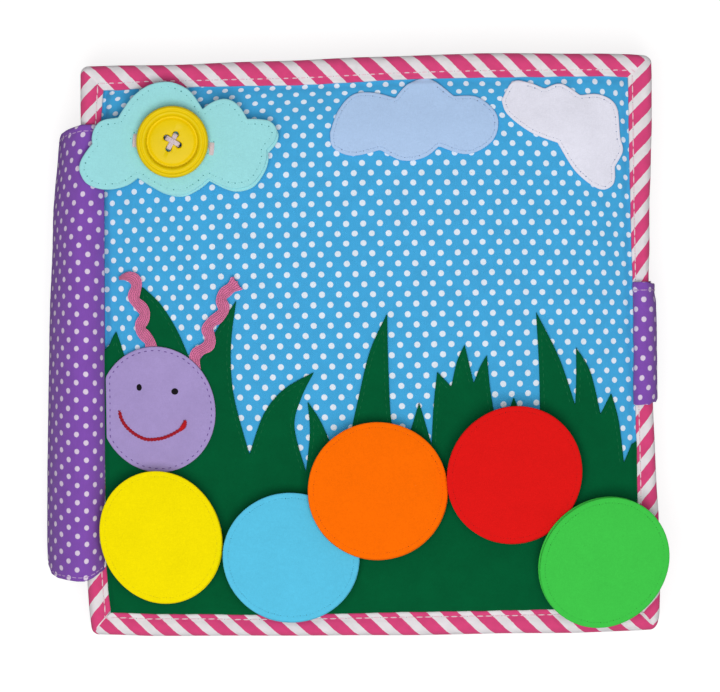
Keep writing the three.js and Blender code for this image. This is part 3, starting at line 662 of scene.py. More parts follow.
# How the page's print is drawn in X and in Y, read off the photo's dots: over the page, then near its top, fore and spine folds
PAGE_DRAWN = ((-0.9, -1.5, 1.1, -0.5, -0.4, -0.4, 5, 0, 3.6, -0.6), (-0.3, 0, -1.3, -0.7, -0.2, -0.4, 0.2, 5.2, -0.2, 3.1))
FOLDS_DRAWN = ((0.5, -0.4, 3.2, 0, 2.4, 1.6, -2.2, 2.4, -4, 0), (1.2, 2.4, -1.3, 0.3, 1.8, -0.2, 0.2, 1.1, 0, -3))


def cloth_map(x, y):
    """Where a point of the page lies on the flat printed cloth, which is drawn up at the edges."""
    a, b = np.clip(x / 100, -1, 0.95), np.clip(y / 100, -0.3, 0.95)
    top, fore, spine, corner = np.clip([(y - 68) / 24, (x - 66) / 26, (-x - 55) / 37, (x - 55) / 37], 0, 1)
    folds = [top**2, top**3, top**2 * a, fore**2, fore**2 * b, fore**3, spine**2, spine**2 * b, top**2 * corner, top**4 * corner]
    return np.stack([at + cubic(page, a, b) + np.dot(fold, folds) for at, page, fold in zip((x, y), PAGE_DRAWN, FOLDS_DRAWN)], 1)


def cloth_grid(step, more=()):
    """A grid over the page's cloth, with more lines where they are wanted."""
    lines = np.union1d(np.linspace(-RAW_EDGE, RAW_EDGE, int(2 * RAW_EDGE / step) + 1), more)
    return np.meshgrid(lines, lines)


def add_cloth(name, leaf, x, y, heights, material, *nodes):
    """A closed body of a leaf's cloth between its upper and its lower heights."""
    points = warp(together(x, y, heights))
    faces = shell_faces(*x.shape)
    piece = make(name, points, faces, material, corner_uv(faces, cloth_map(*points.T[:2])))
    settle(piece, leaf, "face" if material is FACE else "plain", *nodes)
    return piece


FINE, COARSE = 1.6, 2.6
FOLD_LINES = BINDING_INNER + np.arange(-3.6, 1.7, 0.45)
LOWEST = 0.03


def add_pad(leaf, node, material, step, facing, seed):
    """A padded closed body: the cloth over its wadding, flat where it lies on the lining; it faces up (1) or down (-1)."""
    level = LEVELS[leaf]
    x, y = cloth_grid(step, np.r_[FOLD_LINES, -FOLD_LINES] if facing > 0 else ())
    half = cloth_half(x, y)
    shown = smoothstep(RAW_EDGE, BINDING_INNER, np.abs(x)) * smoothstep(RAW_EDGE, BINDING_INNER, np.abs(y))
    outer, inner = half + wrinkles(x, y, seed) * shown, half - CLOTH - 0.1
    if facing > 0:
        for reach, depth in ((-x, 1.9), (x, 0.9), (y, 0.6), (-y, 0.5)):
            outer -= depth * dip(reach, BINDING_INNER - 0.7, 1.45)
    heights = (level + outer, level - inner) if facing > 0 else (level + inner, np.maximum(level - outer, LOWEST))
    piece = add_cloth(f"{node}_padded", leaf, x, y, heights, material, node, f"{leaf}_batting")


def add_lining(leaf, node, facing, seed):
    """The leaf's other cloth: a thin sheet over the padding's flat side."""
    x, y = cloth_grid(COARSE)
    thick = CLOTH - 0.05
    outer = cloth_half(x, y) + np.abs(wrinkles(x, y, seed)) * 0.4 - 0.05
    away = (outer, outer - thick) if facing > 0 else (thick - outer, -outer)
    piece = add_cloth(f"{node}_sheet", leaf, x, y, LEVELS[leaf] + np.array(away), PLAIN, node)


# Stripes counted along each side (lower, fore, top, spine) as a cubic of the place in decimetres, and which way they lean
STRIPE_COUNT = np.array([
    (9.449, 9.251, -0.108, 0.394), (5.577, 9.192, -0.129, 0.513), (9.091, 9.44, -0.152, 0.175), (8.527, 9.89, 0.0, 0.0),
])
STRIPE_LEAN = np.array([-1, -1, 1, 1])
STRIPE_MIDDLE = 5.07
# The row of stitches on each side: its inset, and its stitches' length
STITCH_INSET, STITCH_SPACING, STITCH_LEVEL = 6.2, 3.05, 2.02
SIDE_STITCH_INSET = np.array([6.15, 6.5, 5.7, 5.9])
STITCH_LENGTH = np.array([2.3, 2.7, 2.1, 2.7])
OUTWARDS = np.array([(0, -1), (1, 0), (0, 1), (-1, 0)])
# Inset from the outer edge and height of the folded binding's outside, from its inner edge to its nose
BINDING_PROFILE = [
    (8.0, 1.42), (7.9, 1.85), (7.6, 2.08), (7.1, 2.1), (6.7, 1.98), (6.2, 1.86), (5.7, 1.98), (5.2, 2.2), (4.4, 2.38),
    (3.6, 2.46), (2.7, 2.43), (1.9, 2.25), (1.1, 1.8), (0.5, 1.2), (0.12, 0.6), (0.0, 0.0),
]
BINDING_INSIDE = [(1.3, 0.0), (2.2, 1.3), (5.5, 1.45), (7.9, 1.3)]


def square_loop(inset, per_side, per_corner, corner):
    """Points round a square with rounded corners, starting at the lower left, with the side each belongs to."""
    half = PAGE_HALF - inset
    radius = max(corner - inset * 0.8, 0.05)
    straight = half - radius
    turn = np.linspace(-math.pi / 2, 0, per_corner + 2)[1:-1]
    side_x = np.r_[np.linspace(-straight, straight, per_side), straight + radius * np.cos(turn)]
    side_y = np.r_[np.full(per_side, -half), radius * np.sin(turn) - straight]
    lower = np.stack([side_x, side_y], 1)
    sides = np.roll(np.repeat(range(4), len(lower)), per_corner // 2 - per_corner)
    return np.vstack([lower, left_of(lower), -lower, -left_of(lower)]), sides


def add_binding(leaf, seed):
    """Bias binding folded over all four edges, mitred at the corners, with its row of stitching on both sides."""
    level = LEVELS[leaf]
    outside = BINDING_PROFILE + [(inset, -z) for inset, z in BINDING_PROFILE[-2::-1]]
    profile = np.array(outside + [(inset, -z) for inset, z in BINDING_INSIDE[::-1]] + BINDING_INSIDE[1:])
    rings = []
    for inset, z in profile:
        loop, sides = square_loop(inset, 131, 6, 2.6)
        x, y = loop.T
        round_edge = np.where(sides % 2 == 0, x, y) + sides * 300
        outer_share = np.clip(1 - inset / BINDING_WIDTH, 0, 1)
        swell = 1 + 0.05 * wander(round_edge, level, 9, seed) * outer_share
        pucker = 0.09 * np.sin(round_edge * TURN / STITCH_SPACING) + 0.10 * wander(round_edge, 0, 2.6, seed)
        mitre = dip(np.abs(x), np.abs(y), 0.9) * (0.45 if 0.6 < inset < 7.6 else 0.1)
        height = z * swell + (pucker * dip(inset, 7.0, 2.0) - mitre) * np.sign(z)
        drift = 0.28 * wander(round_edge, 0, 30, seed + 3) * outer_share
        drift += 0.22 * wander(round_edge, 50, 7, seed + 1) * (1 - outer_share)
        rings.append(raised(loop - inward(loop) * drift[:, None], level + height))
    count = len(sides)
    points = warp(np.vstack(rings))
    faces = grid_faces(len(rings), count, wrap_rows=True, wrap_columns=True)
    side = sides[faces[:, 0] % count][:, None]
    run = run_along(profile)[faces // count]
    along = np.where(side % 2, points[faces, 1], points[faces, 0]) + STRIPE_LEAN[side] * (run - STRIPE_MIDDLE)
    stripes = (STRIPE_COUNT[side] * (along[..., None] / 100) ** np.arange(4)).sum(-1)
    piece = make(f"{leaf}_binding_folded", points, faces, STRIPED, np.stack([stripes, run], -1))
    settle(piece, leaf, "binding", f"{leaf}_binding")

    centres, along = resample(square_loop(STITCH_INSET, 200, 2, 0.4)[0], STITCH_SPACING, closed=True)
    x, y = centres.T
    side = np.where(np.abs(y) > np.abs(x), np.where(y < 0, 0, 2), np.where(x > 0, 1, 3))
    centres = centres + OUTWARDS[side] * (STITCH_INSET - SIDE_STITCH_INSET[side])[:, None]
    along = raised(along, 0)
    rows = []
    for facing in (1, -1):
        spots, up = raised(centres, level + facing * STITCH_LEVEL), (0, 0, facing)
        rows.append(stitch_mesh(f"row{facing}", warp(spots), along, up, STITCH_LENGTH[side], 0.46, THREAD["topstitch"]))
        if (leaf, facing) in (("front_cover", 1), ("back_cover", -1)):
            # The needle holes between the stitches: small grey beads of painted shade
            between = warp(spots + along * STITCH_SPACING / 2)
            settle(stitch_mesh(f"{leaf}_topstitch_hole_shade", between, along, up, 0.36, 0.24, HOLE_SHADE["grey"]), leaf, "thread")
    settle(join(f"{leaf}_topstitch", rows), leaf, "thread")


# Each leaf's padded cloth and its lining, the padded cloth's fabric and grid step, and the way it faces
LEAF_CLOTHS = (
    ("front_cover", "face", "inside", FACE, FINE, 1), ("second_leaf", "front", "back", PLAIN, COARSE, 1),
    ("third_leaf", "front", "back", PLAIN, COARSE, 1), ("back_cover", "outside", "inside", FACE, COARSE, -1),
)
for number, (leaf, padded, lining, material, step, facing) in enumerate(LEAF_CLOTHS):
    add_pad(leaf, f"{leaf}_{padded}_cloth", material, step, facing, 1.0 + 2 * number)
    add_lining(leaf, f"{leaf}_{lining}_cloth", -facing, 2.0 + 2 * number)
for number, leaf in enumerate(LEVELS):
    add_binding(leaf, 10.0 + number * 3)


# ---- Felt pieces ----
# Rows of points follow a felt's cut edge at these distances; points closer to each other than the merging distance are one
RINGS = (0.1, 0.35, 0.75, 1.2, 1.6, 2.0, 2.4, 3.0)
MERGING = 0.22
ROW_STEP = 0.5


class FeltShape:
    """A felt outline filled with triangles, each point knowing how far it is from the cut edge."""

    def __init__(self, outline, grid, *holes):
        self.loops = [outline, *holes]
        inner = []
        for loop, sign in zip(self.loops, (1, -1)):
            for inset in RINGS:
                ring = loop + inward(loop) * sign * inset
                inner.append(ring[self.fits(ring, inset, 0.06 + inset * 0.08)])
        low, high = outline.min(0), outline.max(0)
        x, y = np.meshgrid(np.arange(low[0], high[0], grid), np.arange(low[1], high[1], grid * 0.87))
        x = x + (np.arange(len(x)) % 2)[:, None] * grid / 2
        filling = together(x, y)
        filling = filling[inside(filling, outline)]
        inner = np.vstack(inner + [filling[edge_distance(filling, self.loops) > RINGS[-1] + grid * 0.4]])
        inner = inner[self.holds(inner)]
        inner = inner[np.sort(np.unique(np.round(inner / MERGING).astype(int), axis=0, return_index=True)[1])]
        edges, start = [], 0
        for loop in self.loops:
            edges += [(start + k, start + (k + 1) % len(loop)) for k in range(len(loop))]
            start += len(loop)
        filled = delaunay_2d_cdt([Vector(p) for p in np.vstack(self.loops + [inner])], edges, [], 0, 1e-5)
        self.points, triangles = np.array(filled[0]), np.array(filled[2])
        self.triangles = triangles[self.holds(self.points[triangles].mean(1))]
        self.distance = edge_distance(self.points, self.loops)
        seen = dict.fromkeys(edge for a, b, c in self.triangles.tolist() for edge in ((a, b), (b, c), (c, a)))
        self.rim = np.array([edge for edge in seen if edge[::-1] not in seen])

    def fits(self, points, inset, slack):
        """Which points are as far from the cut edge as they should be."""
        return np.abs(edge_distance(points, self.loops) - inset) < slack

    def holds(self, points):
        """Which points lie on the felt, and not in its hole."""
        return np.logical_xor.reduce([inside(points, loop) for loop in self.loops])

    def stitch_lines(self, inset, spacing):
        """Places and directions of stitches that follow the cut edge at a distance."""
        rows = []
        for loop, sign in zip(self.loops, (1, -1)):
            line = resample(loop, ROW_STEP, closed=True)[0]
            line = line + inward(line) * sign * inset
            good = self.fits(line, inset, 0.12)
            if good.all():
                rows.append(resample(line, spacing, closed=True))
                continue
            first, stretch = np.argmin(good), []
            for point, fits in zip([*np.roll(line, -first, axis=0), None], [*np.roll(good, -first), False]):
                if fits and (not stretch or np.linalg.norm(point - stretch[-1]) < 1.2):
                    stretch.append(point)
                    continue
                if len(stretch) > spacing / ROW_STEP + 2:
                    place, way = resample(stretch, spacing)
                    rows.append((place[:-1] + np.diff(place, axis=0) / 2, way[:-1]))
                stretch = [point] if fits else []
        return [np.vstack(part) for part in zip(*rows)]


# A felt's thickness near its cut edge: distances from the edge, and shares of the whole thickness
EDGE_FULLNESS = ((0.0, 0.1, 0.35, 0.75, 1.6), (0.5, 0.74, 0.88, 0.95, 1.0))
FOLD_TUCK = 0.3
HELD_DOWN = 0.72


def tucked(x, y, early):
    """From 0 to 1 where a felt piece on the page nears the binding that folds over it."""
    reach_x, reach_y = fold_reach(x, y)
    return smoothstep(-1.9 - early, -0.15 - early, np.maximum(np.abs(x) - reach_x, np.abs(y) - reach_y))


def felt_body(name, shape, middle, thickness, material, seam, seed, pressed=0):
    """A felt piece with soft cut edges; middle gives its middle plane's height, seam = (inset, depth) its stitched groove."""
    x, y = shape.points.T
    fullness = np.interp(shape.distance, *EDGE_FULLNESS) * thickness / 2
    plane = middle(x, y)
    top = plane + fullness + 0.05 * wander(x, y, 6, seed)
    if seam:
        groove = seam[1] * dip(shape.distance, seam[0], 0.5) * (0.65 + 0.5 * wander(x, y, 3.5, seed + 7))
        top -= groove * (1 - tucked(x, y, 1.5) * pressed)
    # The binding holds down the edge of a felt that runs under it
    top -= HELD_DOWN * tucked(x, y, 0.0) * pressed
    count = len(x)
    points = np.vstack([raised(shape.points, top), raised(shape.points, plane - fullness)])
    used = np.unique(shape.triangles)
    kept = np.r_[used, used + count]
    renumbered = np.full(2 * count, -1)
    renumbered[kept] = np.arange(len(kept))
    a, b = shape.rim.T
    wall = np.stack([b, a, a + count, b + count], 1)
    faces = [*renumbered[shape.triangles], *renumbered[shape.triangles[:, ::-1] + count], *renumbered[wall]]
    return make(name, points[kept], faces, material)


def felt_stitches(name, shape, top, inset, spacing, length, width, material, holes=None, pressed=0, hole_size=0.42):
    """A row of stitches sunk in a felt piece's seam, with a needle hole between each two, some drawn in and some open;
    each hole is a small dark bead of painted shade.
    """
    place, way = shape.stitch_lines(inset, spacing)
    if pressed:
        free = tucked(*place.T, 1.5) < 0.02
        place, way = place[free], way[free]
    place = place + left_of(way) * 0.2 * wander(*place.T, 2.3, inset)[:, None]
    lengths = length * (1 + 0.15 * wander(*place.T, 1.7, inset + 4))
    along = raised(way, 0)
    pieces = [stitch_mesh(name, raised(place, top(*place.T)), along, UP, lengths, width, material)]
    # Needle holes: small dark beads of painted shade between the stitches
    if holes:
        ends = place + way * (lengths + spacing)[:, None] / 4
        opened = hole_size * np.clip(0.9 + 0.6 * wander(*place.T, 3.1, inset + 9), 0.6, 1.25)
        pieces.append(stitch_mesh(f"{name}_holes", raised(ends, top(*ends.T) - 0.02), along, UP, opened * 1.15, opened, holes))
    return pieces


# Thickness of the felt pictures, and how far over the page's cloth the first and the second layer lie
FELT = 1.15
FIRST_LIFT = 0.1
SECOND_LIFT = 1.45


def on_page(lift):
    """The height over the page as a function of the place."""
    return lambda x, y: page_z(x, y) + lift


GRASS_LINE = lobed_outline([-97, -97], [
    [[-97, -3.5]], [[-91.7, 2]], [[-90.6, 4.6], [-89.3, 6.6]], [[-88, 2.9], [-86.5, -2.1]], [[-85, -6], [-79.5, -4.5]],
    [[-77.4, 0.5], [-78.6, 5], [-80.2, 9], [-81, 14], [-81, 18], [-80, 22.3]],
    [[-73.6, 16.1], [-67.9, 6.8], [-63.8, -2.8]], [[-59.2, -3.2]], [[-54.6, 5.6], [-46.8, 16.9]],
    [[-48.9, 1.3], [-48.3, -16], [-43, -37.4]], [[-37.7, -23.2], [-30.5, -14.6], [-19.8, -8.7]],
    [[-24.4, -17.6], [-27, -28], [-23.2, -43.7]], [[-21.6, -30], [-22.3, -19]], [[-17, -27.7], [-11.2, -43.3]],
    [[-8.6, -36]], [[-4.5, -18.8], [0, -1.5], [6.2, 11.5]], [[6.3, -4], [7, -25.3], [9.4, -34]], [[12.6, -34]],
    [[17, -19.9]], [[21.2, -34.9]], [[22, -22], [23.5, -9.2]], [[28.4, -14.6]], [[30.5, -5.9], [33.3, 0.2]],
    [[36.3, -13.6]], [[38.6, -7.8], [41.1, -3.6]], [[41.9, -14], [43.6, -26.6]], [[47.4, -26.6]], [[50.3, -18.5]],
    [[53.4, -26.6]], [[59.5, -26.6]], [[59.4, -8], [58.6, 11.3]], [[66.5, -5], [71.9, -21.7]],
    [[72.4, -12], [72.5, -1.4]], [[77.4, -10], [80.8, -25]], [[84.7, -17.6]], [[87.3, -28], [88.8, -42.3]],
    [[91.7, -35.6]], [[97, -33.0]], [[97, -97]], [[-97, -97]],
])
BLUE_CLOUD_LINE = lobed_outline([-13, 75.4], [
    [[-10, 83.2], [-4.7, 88.8], [2.6, 89.4], [10.1, 87.4]], [[15, 92.4], [22.5, 93.9], [30.9, 87.8]],
    [[39.4, 87.2], [46, 80.6], [44.4, 72], [35.4, 67.2], [25.3, 70.1]], [[20, 66.2], [12.2, 65.3], [4.6, 69.1]],
    [[-5.3, 67.2], [-12, 70.2], [-13, 75.4]],
])
WHITE_CLOUD_LINE = lobed_outline([47.6, 86.1], [
    [[51.7, 92.6], [57.7, 92], [62.8, 89.9]], [[68.6, 91.6], [75.4, 87.4]],
    [[82.2, 87.6], [88, 83.4], [89.2, 72.6], [90.1, 67.6], [87.2, 62.1]],
    [[86.6, 56], [81.6, 54.2], [73.4, 60.4], [67.1, 70.7]], [[57.6, 74.6], [49.6, 81], [47.6, 86.1]],
])


def under_binding(line):
    """Felt ends just under the binding that folds over it."""
    limit = np.stack(fold_reach(*line.T), 1) + FOLD_TUCK
    return resample(np.clip(line, -limit, limit), OUTLINE_STEP, closed=True)[0]


# Each picture sewn flat on the cover: its outline, felt and slot, its seam's inset and depth,
# its stitches' spacing, length and width, its thread, the painted shade of its needle holes and the grid that fills it
for node, line, material, slot, inset, depth, stitch, colour, holes, grid in (
    ("grass", GRASS_LINE, GRASS, "grass", 1.4, 0.12, (2.5, 1.7, 0.3), "grass", None, 3.0),
    ("light_blue_cloud", BLUE_CLOUD_LINE, PALE_BLUE, "pale_blue", 1.25, 0.08, (2.6, 2.1, 0.3), "pale_blue", HOLE_SHADE["soft"], 2.6),
    ("white_cloud", WHITE_CLOUD_LINE, CLOUD_WHITE, "cloud_white", 1.25, 0.08, (2.6, 2.1, 0.3), "cloud", HOLE_SHADE["soft"], 2.6),
):
    shape = FeltShape(under_binding(line), grid)
    piece = felt_body(f"{node}_felt", shape, on_page(FIRST_LIFT + FELT / 2), FELT, material, (inset, depth), len(node), 1)
    settle(piece, "front_cover", slot, node)
    top = on_page(FIRST_LIFT + FELT - depth * 0.7)
    for piece in felt_stitches(f"{node}_stitching", shape, top, inset, *stitch, THREAD[colour], holes, 1):
        settle(piece, "front_cover", slot)

# ---- Head, face and feelers ----
HEAD_CENTRE, HEAD_RADIUS, HEAD_OVAL = np.array([-75.2, -21.05]), 21.3, (-0.82, -0.5)
HEAD_TOP = SECOND_LIFT + FELT
head_line = np.maximum(rounded(HEAD_CENTRE, HEAD_RADIUS, HEAD_OVAL), (-93.2, -100))
head_shape = FeltShape(head_line, 2.4)
head = felt_body("head_felt", head_shape, on_page(SECOND_LIFT + FELT / 2), FELT, LILAC, (1.35, 0.14), 4.0)
settle(head, "front_cover", "lilac", "head")
for piece in felt_stitches("head_stitching", head_shape, on_page(HEAD_TOP - 0.1), 1.35, 2.3, 1.3, 0.34, THREAD["lilac"]):
    settle(piece, "front_cover", "lilac")

EYE_PROFILE = [(0, 0.7), (0.3, 0.68), (0.6, 0.6), (0.82, 0.46), (0.95, 0.26), (1.0, 0.05), (0.9, -0.1), (0, -0.1)]
for node, x, y, sizes in (("eye_left", -81.4, -13.2, (0.98, 1.22, 1)), ("eye_right", -68.9, -14.8, (1.27, 1.17, 1))):
    eye = lathe(f"{node}_dome", EYE_PROFILE, 28, THREAD["eye"])
    move(eye, x, y, page_z(x, y) + HEAD_TOP - 0.15, sizes=sizes)
    settle(eye, "front_cover", "eye", node)

MOUTH_LINE = [
    [-88.6, -21.2], [-87.8, -24.3], [-86.2, -26.9], [-83.5, -29.4], [-79.9, -31.3], [-76.9, -31.6], [-73.3, -31.1],
    [-69.7, -29.7], [-66.8, -27.9],
]
KNOT_LINE = [[-67.5, -28.5], [-66.4, -27.4], [-65.6, -26.2], [-65.4, -25.1]]
for name, line, lift, strands, radius, pitch, colour, *nodes in (
    ("mouth_thread_line", spline(MOUTH_LINE, 14), 0.1, 2, 0.6, 2.4, "mouth", "mouth"),
    ("mouth_knot", spline(KNOT_LINE, 8), 0.35, 3, 1.0, 1.6, "knot"),
):
    path = raised(line, page_z(*line.T) + HEAD_TOP + lift)
    settle(twisted(name, path, strands, radius, pitch, THREAD[colour]), "front_cover", "mouth", *nodes)


def beside_head(points):
    """Points moved out of the head's outline, which the feelers butt against."""
    off = points - HEAD_CENTRE
    rim = oval_reach(np.arctan2(off[..., 1], off[..., 0]), HEAD_RADIUS, HEAD_OVAL) + 0.1
    return HEAD_CENTRE + off * np.maximum(rim / np.linalg.norm(off, axis=-1), 1)[..., None]


def add_feeler(node, tip_width, fray, tip_length, line):
    """Waved braid that butts on the head, its other end cut and frayed; that tip's width is a share of the braid's."""
    centre, along = resample(spline(line, 12), 0.3)
    run, lanes = run_along(centre)[:, None], np.linspace(-1, 1, 25)
    narrow = 1 + (tip_width - 1) * smoothstep(run[-1] - tip_length, run[-1], run)
    width = FEELER_WIDTH / 2 * (1 + 0.07 * np.sin(run * 1.15)) * narrow
    ragged = fray * wander(lanes * 5, 0, 1.1, 3.0) * smoothstep(run[-1] - 1.6, run[-1], run)
    flat = centre[:, None] + left_of(along)[:, None] * (lanes * width)[..., None] + along[:, None] * ragged[..., None]
    x, y = np.moveaxis(beside_head(flat), -1, 0)
    middle = page_z(x, y) + SECOND_LIFT + 0.1 + FEELER_THICK / 2 + 0.12 * np.sin(run * 0.9)
    edge = np.sqrt(1 - lanes**6)
    top = middle + edge * (FEELER_THICK / 2 + 0.07 * np.cos(lanes * math.pi * FEELER_RIBS))
    low = middle - edge * FEELER_THICK / 2
    points = together(x, y, (top, low))
    faces = shell_faces(*middle.shape)[:, ::-1]
    flat_map = together(run, lanes * FEELER_WIDTH / 2)
    piece = make(f"{node}_braid", points, faces, RICKRACK, corner_uv(faces, np.tile(flat_map, (2, 1))))
    settle(piece, "front_cover", "rickrack", node)


add_feeler("feeler_left", 0.3, 0.35, 4.2, [
    [-76.8, -1.0], [-77.0, 1.0], [-77.6, 3.1], [-79.1, 5.0], [-80.5, 6.8], [-80.6, 8.9], [-79.4, 11.0], [-79.1, 13.0],
    [-80.3, 15.1], [-82.2, 17.0], [-82.9, 18.9], [-82.1, 21.4], [-81.9, 23.6], [-83.0, 25.3], [-85.3, 25.9],
    [-88.0, 25.2],
])
add_feeler("feeler_right", 1.42, 1.3, 3.4, [
    [-61.8, -8.4], [-61.8, -5.6], [-61.7, -3.1], [-60.8, -1.3], [-58.9, -0.1], [-57.0, 1.0], [-56.2, 2.9], [-56.5, 4.8],
    [-57.1, 6.9], [-55.8, 9.2], [-53.5, 10.8], [-51.7, 12.7], [-51.3, 14.6], [-52.1, 16.9], [-51.4, 19.0], [-49.3, 20.8],
    [-46.3, 23.1],
])

# ---- Mint cloud and button ----
BUTTON_CENTRE = (-68.4, 72.9)
CLOUD_BASE = frame_box("mint_cloud_back_felt")[0][2]
CLOUD_TOP = frame_box("mint_cloud_front_felt")[1][2]
MINT_LINE = lobed_outline([-96.6, 72.7], [
    [[-96.7, 75.3], [-95.4, 78.8], [-92.7, 81.0], [-87.4, 81.8]],
    [[-85.6, 84.6], [-82.0, 89.2], [-76.7, 92.9], [-70.8, 94.1], [-66.1, 93.1], [-61.5, 90.1], [-57.4, 84.0]],
    [[-54.5, 86.1], [-50.4, 87.4], [-46.8, 86.6], [-43.9, 83.9], [-41.7, 80.2]],
    [[-37.0, 80.0], [-33.5, 79.1], [-31.4, 76.1], [-32.1, 72.6], [-35.1, 69.1]],
    [[-35.1, 66.2], [-36.6, 62.1], [-40.2, 57.5], [-45.0, 55.8], [-49.6, 56.4], [-55.8, 59.5]],
    [[-59.0, 56.9], [-63.2, 54.6], [-66.7, 54.0], [-71.4, 55.0], [-76.0, 57.4], [-80.8, 60.5]],
    [[-84.2, 58.1], [-89.0, 56.7], [-94.2, 56.8], [-98.9, 58.9], [-101.2, 63.1], [-100.8, 66.6], [-98.7, 70.1], [-96.6, 72.7]],
])
# The buttonhole's slit
SLIT_LENGTH, SLIT_WIDTH, SLIT_TILT = 25.4, 2.6, math.radians(-5.8)
SLIT_AXIS = np.array([math.cos(SLIT_TILT), math.sin(SLIT_TILT)])
SLIT_ACROSS = np.array([-SLIT_AXIS[1], SLIT_AXIS[0]])
arc = np.linspace(-math.pi / 2, math.pi / 2, 9)
slit_end = np.stack([(SLIT_LENGTH - SLIT_WIDTH) / 2 + SLIT_WIDTH / 2 * np.cos(arc), SLIT_WIDTH / 2 * np.sin(arc)], 1)
slit_line = resample(np.vstack([slit_end, -slit_end]) @ [SLIT_AXIS, SLIT_ACROSS] + BUTTON_CENTRE, 0.8, closed=True)[0]


def cloud_plane(level):
    """The mint cloud's gently waved plane."""
    return lambda x, y: level + 0.25 * wander(x, y, 30, 9.0)


MINT_SLIP, MINT_SEAM = np.array([0.3, -0.6]), 1.9
mint_back = FeltShape(MINT_LINE + MINT_SLIP * smoothstep(-95, -45, MINT_LINE[:, :1]), 3.2, slit_line)
mint_front = FeltShape(MINT_LINE - 0.8 * MINT_SLIP * smoothstep(-80, -45, MINT_LINE[:, :1]), 2.4, slit_line)
cloud_half = (CLOUD_TOP - CLOUD_BASE) / 4
for layer, (side, shape, seam) in enumerate((("back", mint_back, None), ("front", mint_front, (MINT_SEAM, 0.1)))):
    node = f"mint_cloud_{side}_felt"
    plane = cloud_plane(CLOUD_BASE + cloud_half * (1 + 2 * layer))
    settle(felt_body(f"{node}_cut", shape, plane, 2 * cloud_half, MINT, seam, 6.0 + layer), "mint_cloud", "mint", node)
mint_stitch = (MINT_SEAM, 2.4, 1.8, 0.3, THREAD["mint"], HOLE_SHADE["mint"])
for piece in felt_stitches("mint_cloud_stitching", mint_front, cloud_plane(CLOUD_TOP - 0.12), *mint_stitch, hole_size=0.55):
    settle(piece, "mint_cloud", "mint")

# Buttonhole: thread wound over the slit's edges, with a bar tack at each end
hole_place = resample(slit_line, 0.62, closed=True)[0]
outwards = -inward(hole_place)
satin_place = raised(hole_place + outwards * 0.5, CLOUD_TOP + 0.12)
satin = stitch_mesh("buttonhole_satin", satin_place, raised(outwards, 0), UP, 1.3, 0.55, THREAD["white"])
settle(satin, "mint_cloud", "thread")
tack_place = np.array([(-81.5, 73.6), (-54.6, 70.3)])[:, None] + np.linspace(-0.55, 0.55, 4)[:, None] * SLIT_AXIS
tack_place = raised(tack_place.reshape(-1, 2), CLOUD_TOP + 0.25)
tacks = stitch_mesh("buttonhole_tacks", tack_place, np.tile((*SLIT_ACROSS, 0), (8, 1)), UP, 5.0, 0.7, THREAD["white"])
settle(tacks, "mint_cloud", "thread")

BUTTON_LOW = frame_box("button")[0][2]
HOLE_SPOTS = np.array([(-2, 1.5), (1.3, 2.6), (-1.3, -2.4), (2.3, -1.1)])
# Radius and height of what is cut from each hole, then of the button from its middle over its rim to its underside
HOLE_PROFILE = [(0, 6), (3.25, 6), (1.4, 2.28), (1.17, 2.12), (1.05, 1.9), (1.05, -2), (0, -2)]
BUTTON_PROFILE = [
    (0, 2.25), (4.0, 2.25), (7.4, 2.2), (7.9, 2.05), (8.35, 1.7), (8.7, 1.55), (9.0, 1.8), (9.15, 2.5), (9.35, 3.2),
    (9.75, 3.6), (10.2, 3.75), (10.6, 3.7), (10.9, 3.45), (11.05, 3.38), (11.25, 3.55), (11.6, 3.85), (11.95, 3.83),
    (12.3, 3.55), (12.58, 3.05), (12.7, 2.4), (12.7, 1.8), (12.5, 1.1), (12.0, 0.6), (11.2, 0.25), (9.5, 0.12),
    (5.0, 0.2), (0, 0.3),
]
button = lathe("button_moulded", BUTTON_PROFILE, 96, BUTTON)
cutters = []
for spot in HOLE_SPOTS:
    cutters.append(lathe("cutter", HOLE_PROFILE, 32, BUTTON))
    move(cutters[-1], *spot, 0)
cutter = join("button_cutter", cutters)
drill = button.modifiers.new("holes", "BOOLEAN")
drill.object, drill.operation, drill.solver = cutter, "DIFFERENCE", "EXACT"
bpy.context.view_layer.update()
button.data = bpy.data.meshes.new_from_object(button.evaluated_get(bpy.context.evaluated_depsgraph_get()))
button.modifiers.clear()
bpy.data.objects.remove(cutter)
move(button, *BUTTON_CENTRE, BUTTON_LOW)
button.data.polygons.foreach_set("use_smooth", [True] * len(button.data.polygons))
settle(button, "front_cover", "button", "button")

# The thread crosses the button from hole to hole, and is wound into a shank under it
strands = []
for first, last, lift in ((1, 2, 0.35), (0, 3, 1.05)):
    way = HOLE_SPOTS[last] - HOLE_SPOTS[first]
    length = np.linalg.norm(way)
    way = way / length
    at = np.array([0.1, 0.1, 0.35, length / 2, length - 0.35, length - 0.1, length - 0.1])
    bend = lift * 0.7 + 0.1
    heights = BUTTON_LOW + 2.2 + np.array([-3.2, -0.8, bend, lift + 0.25, bend, -0.8, -3.2])
    for lane in (-0.5, 0.0, 0.5):
        side = np.array([-way[1], way[0]])
        path = raised(HOLE_SPOTS[first] + BUTTON_CENTRE + side * lane + at[:, None] * way, heights)
        strands.append(tube(f"strand_{first}_{lane}", spline(path), 0.36, THREAD["white"], (*side, 0.01)))
settle(join("button_thread_cross", strands), "front_cover", "thread", "button_thread")
angle = np.linspace(0, 9 * TURN, 220)
shank_z = np.linspace(page_z(*BUTTON_CENTRE) + 0.2, BUTTON_LOW, len(angle))
shank = raised(np.stack([np.cos(angle), np.sin(angle)], 1) + BUTTON_CENTRE, shank_z)
settle(tube("button_shank", shank, 0.42, THREAD["white"]), "front_cover", "thread")

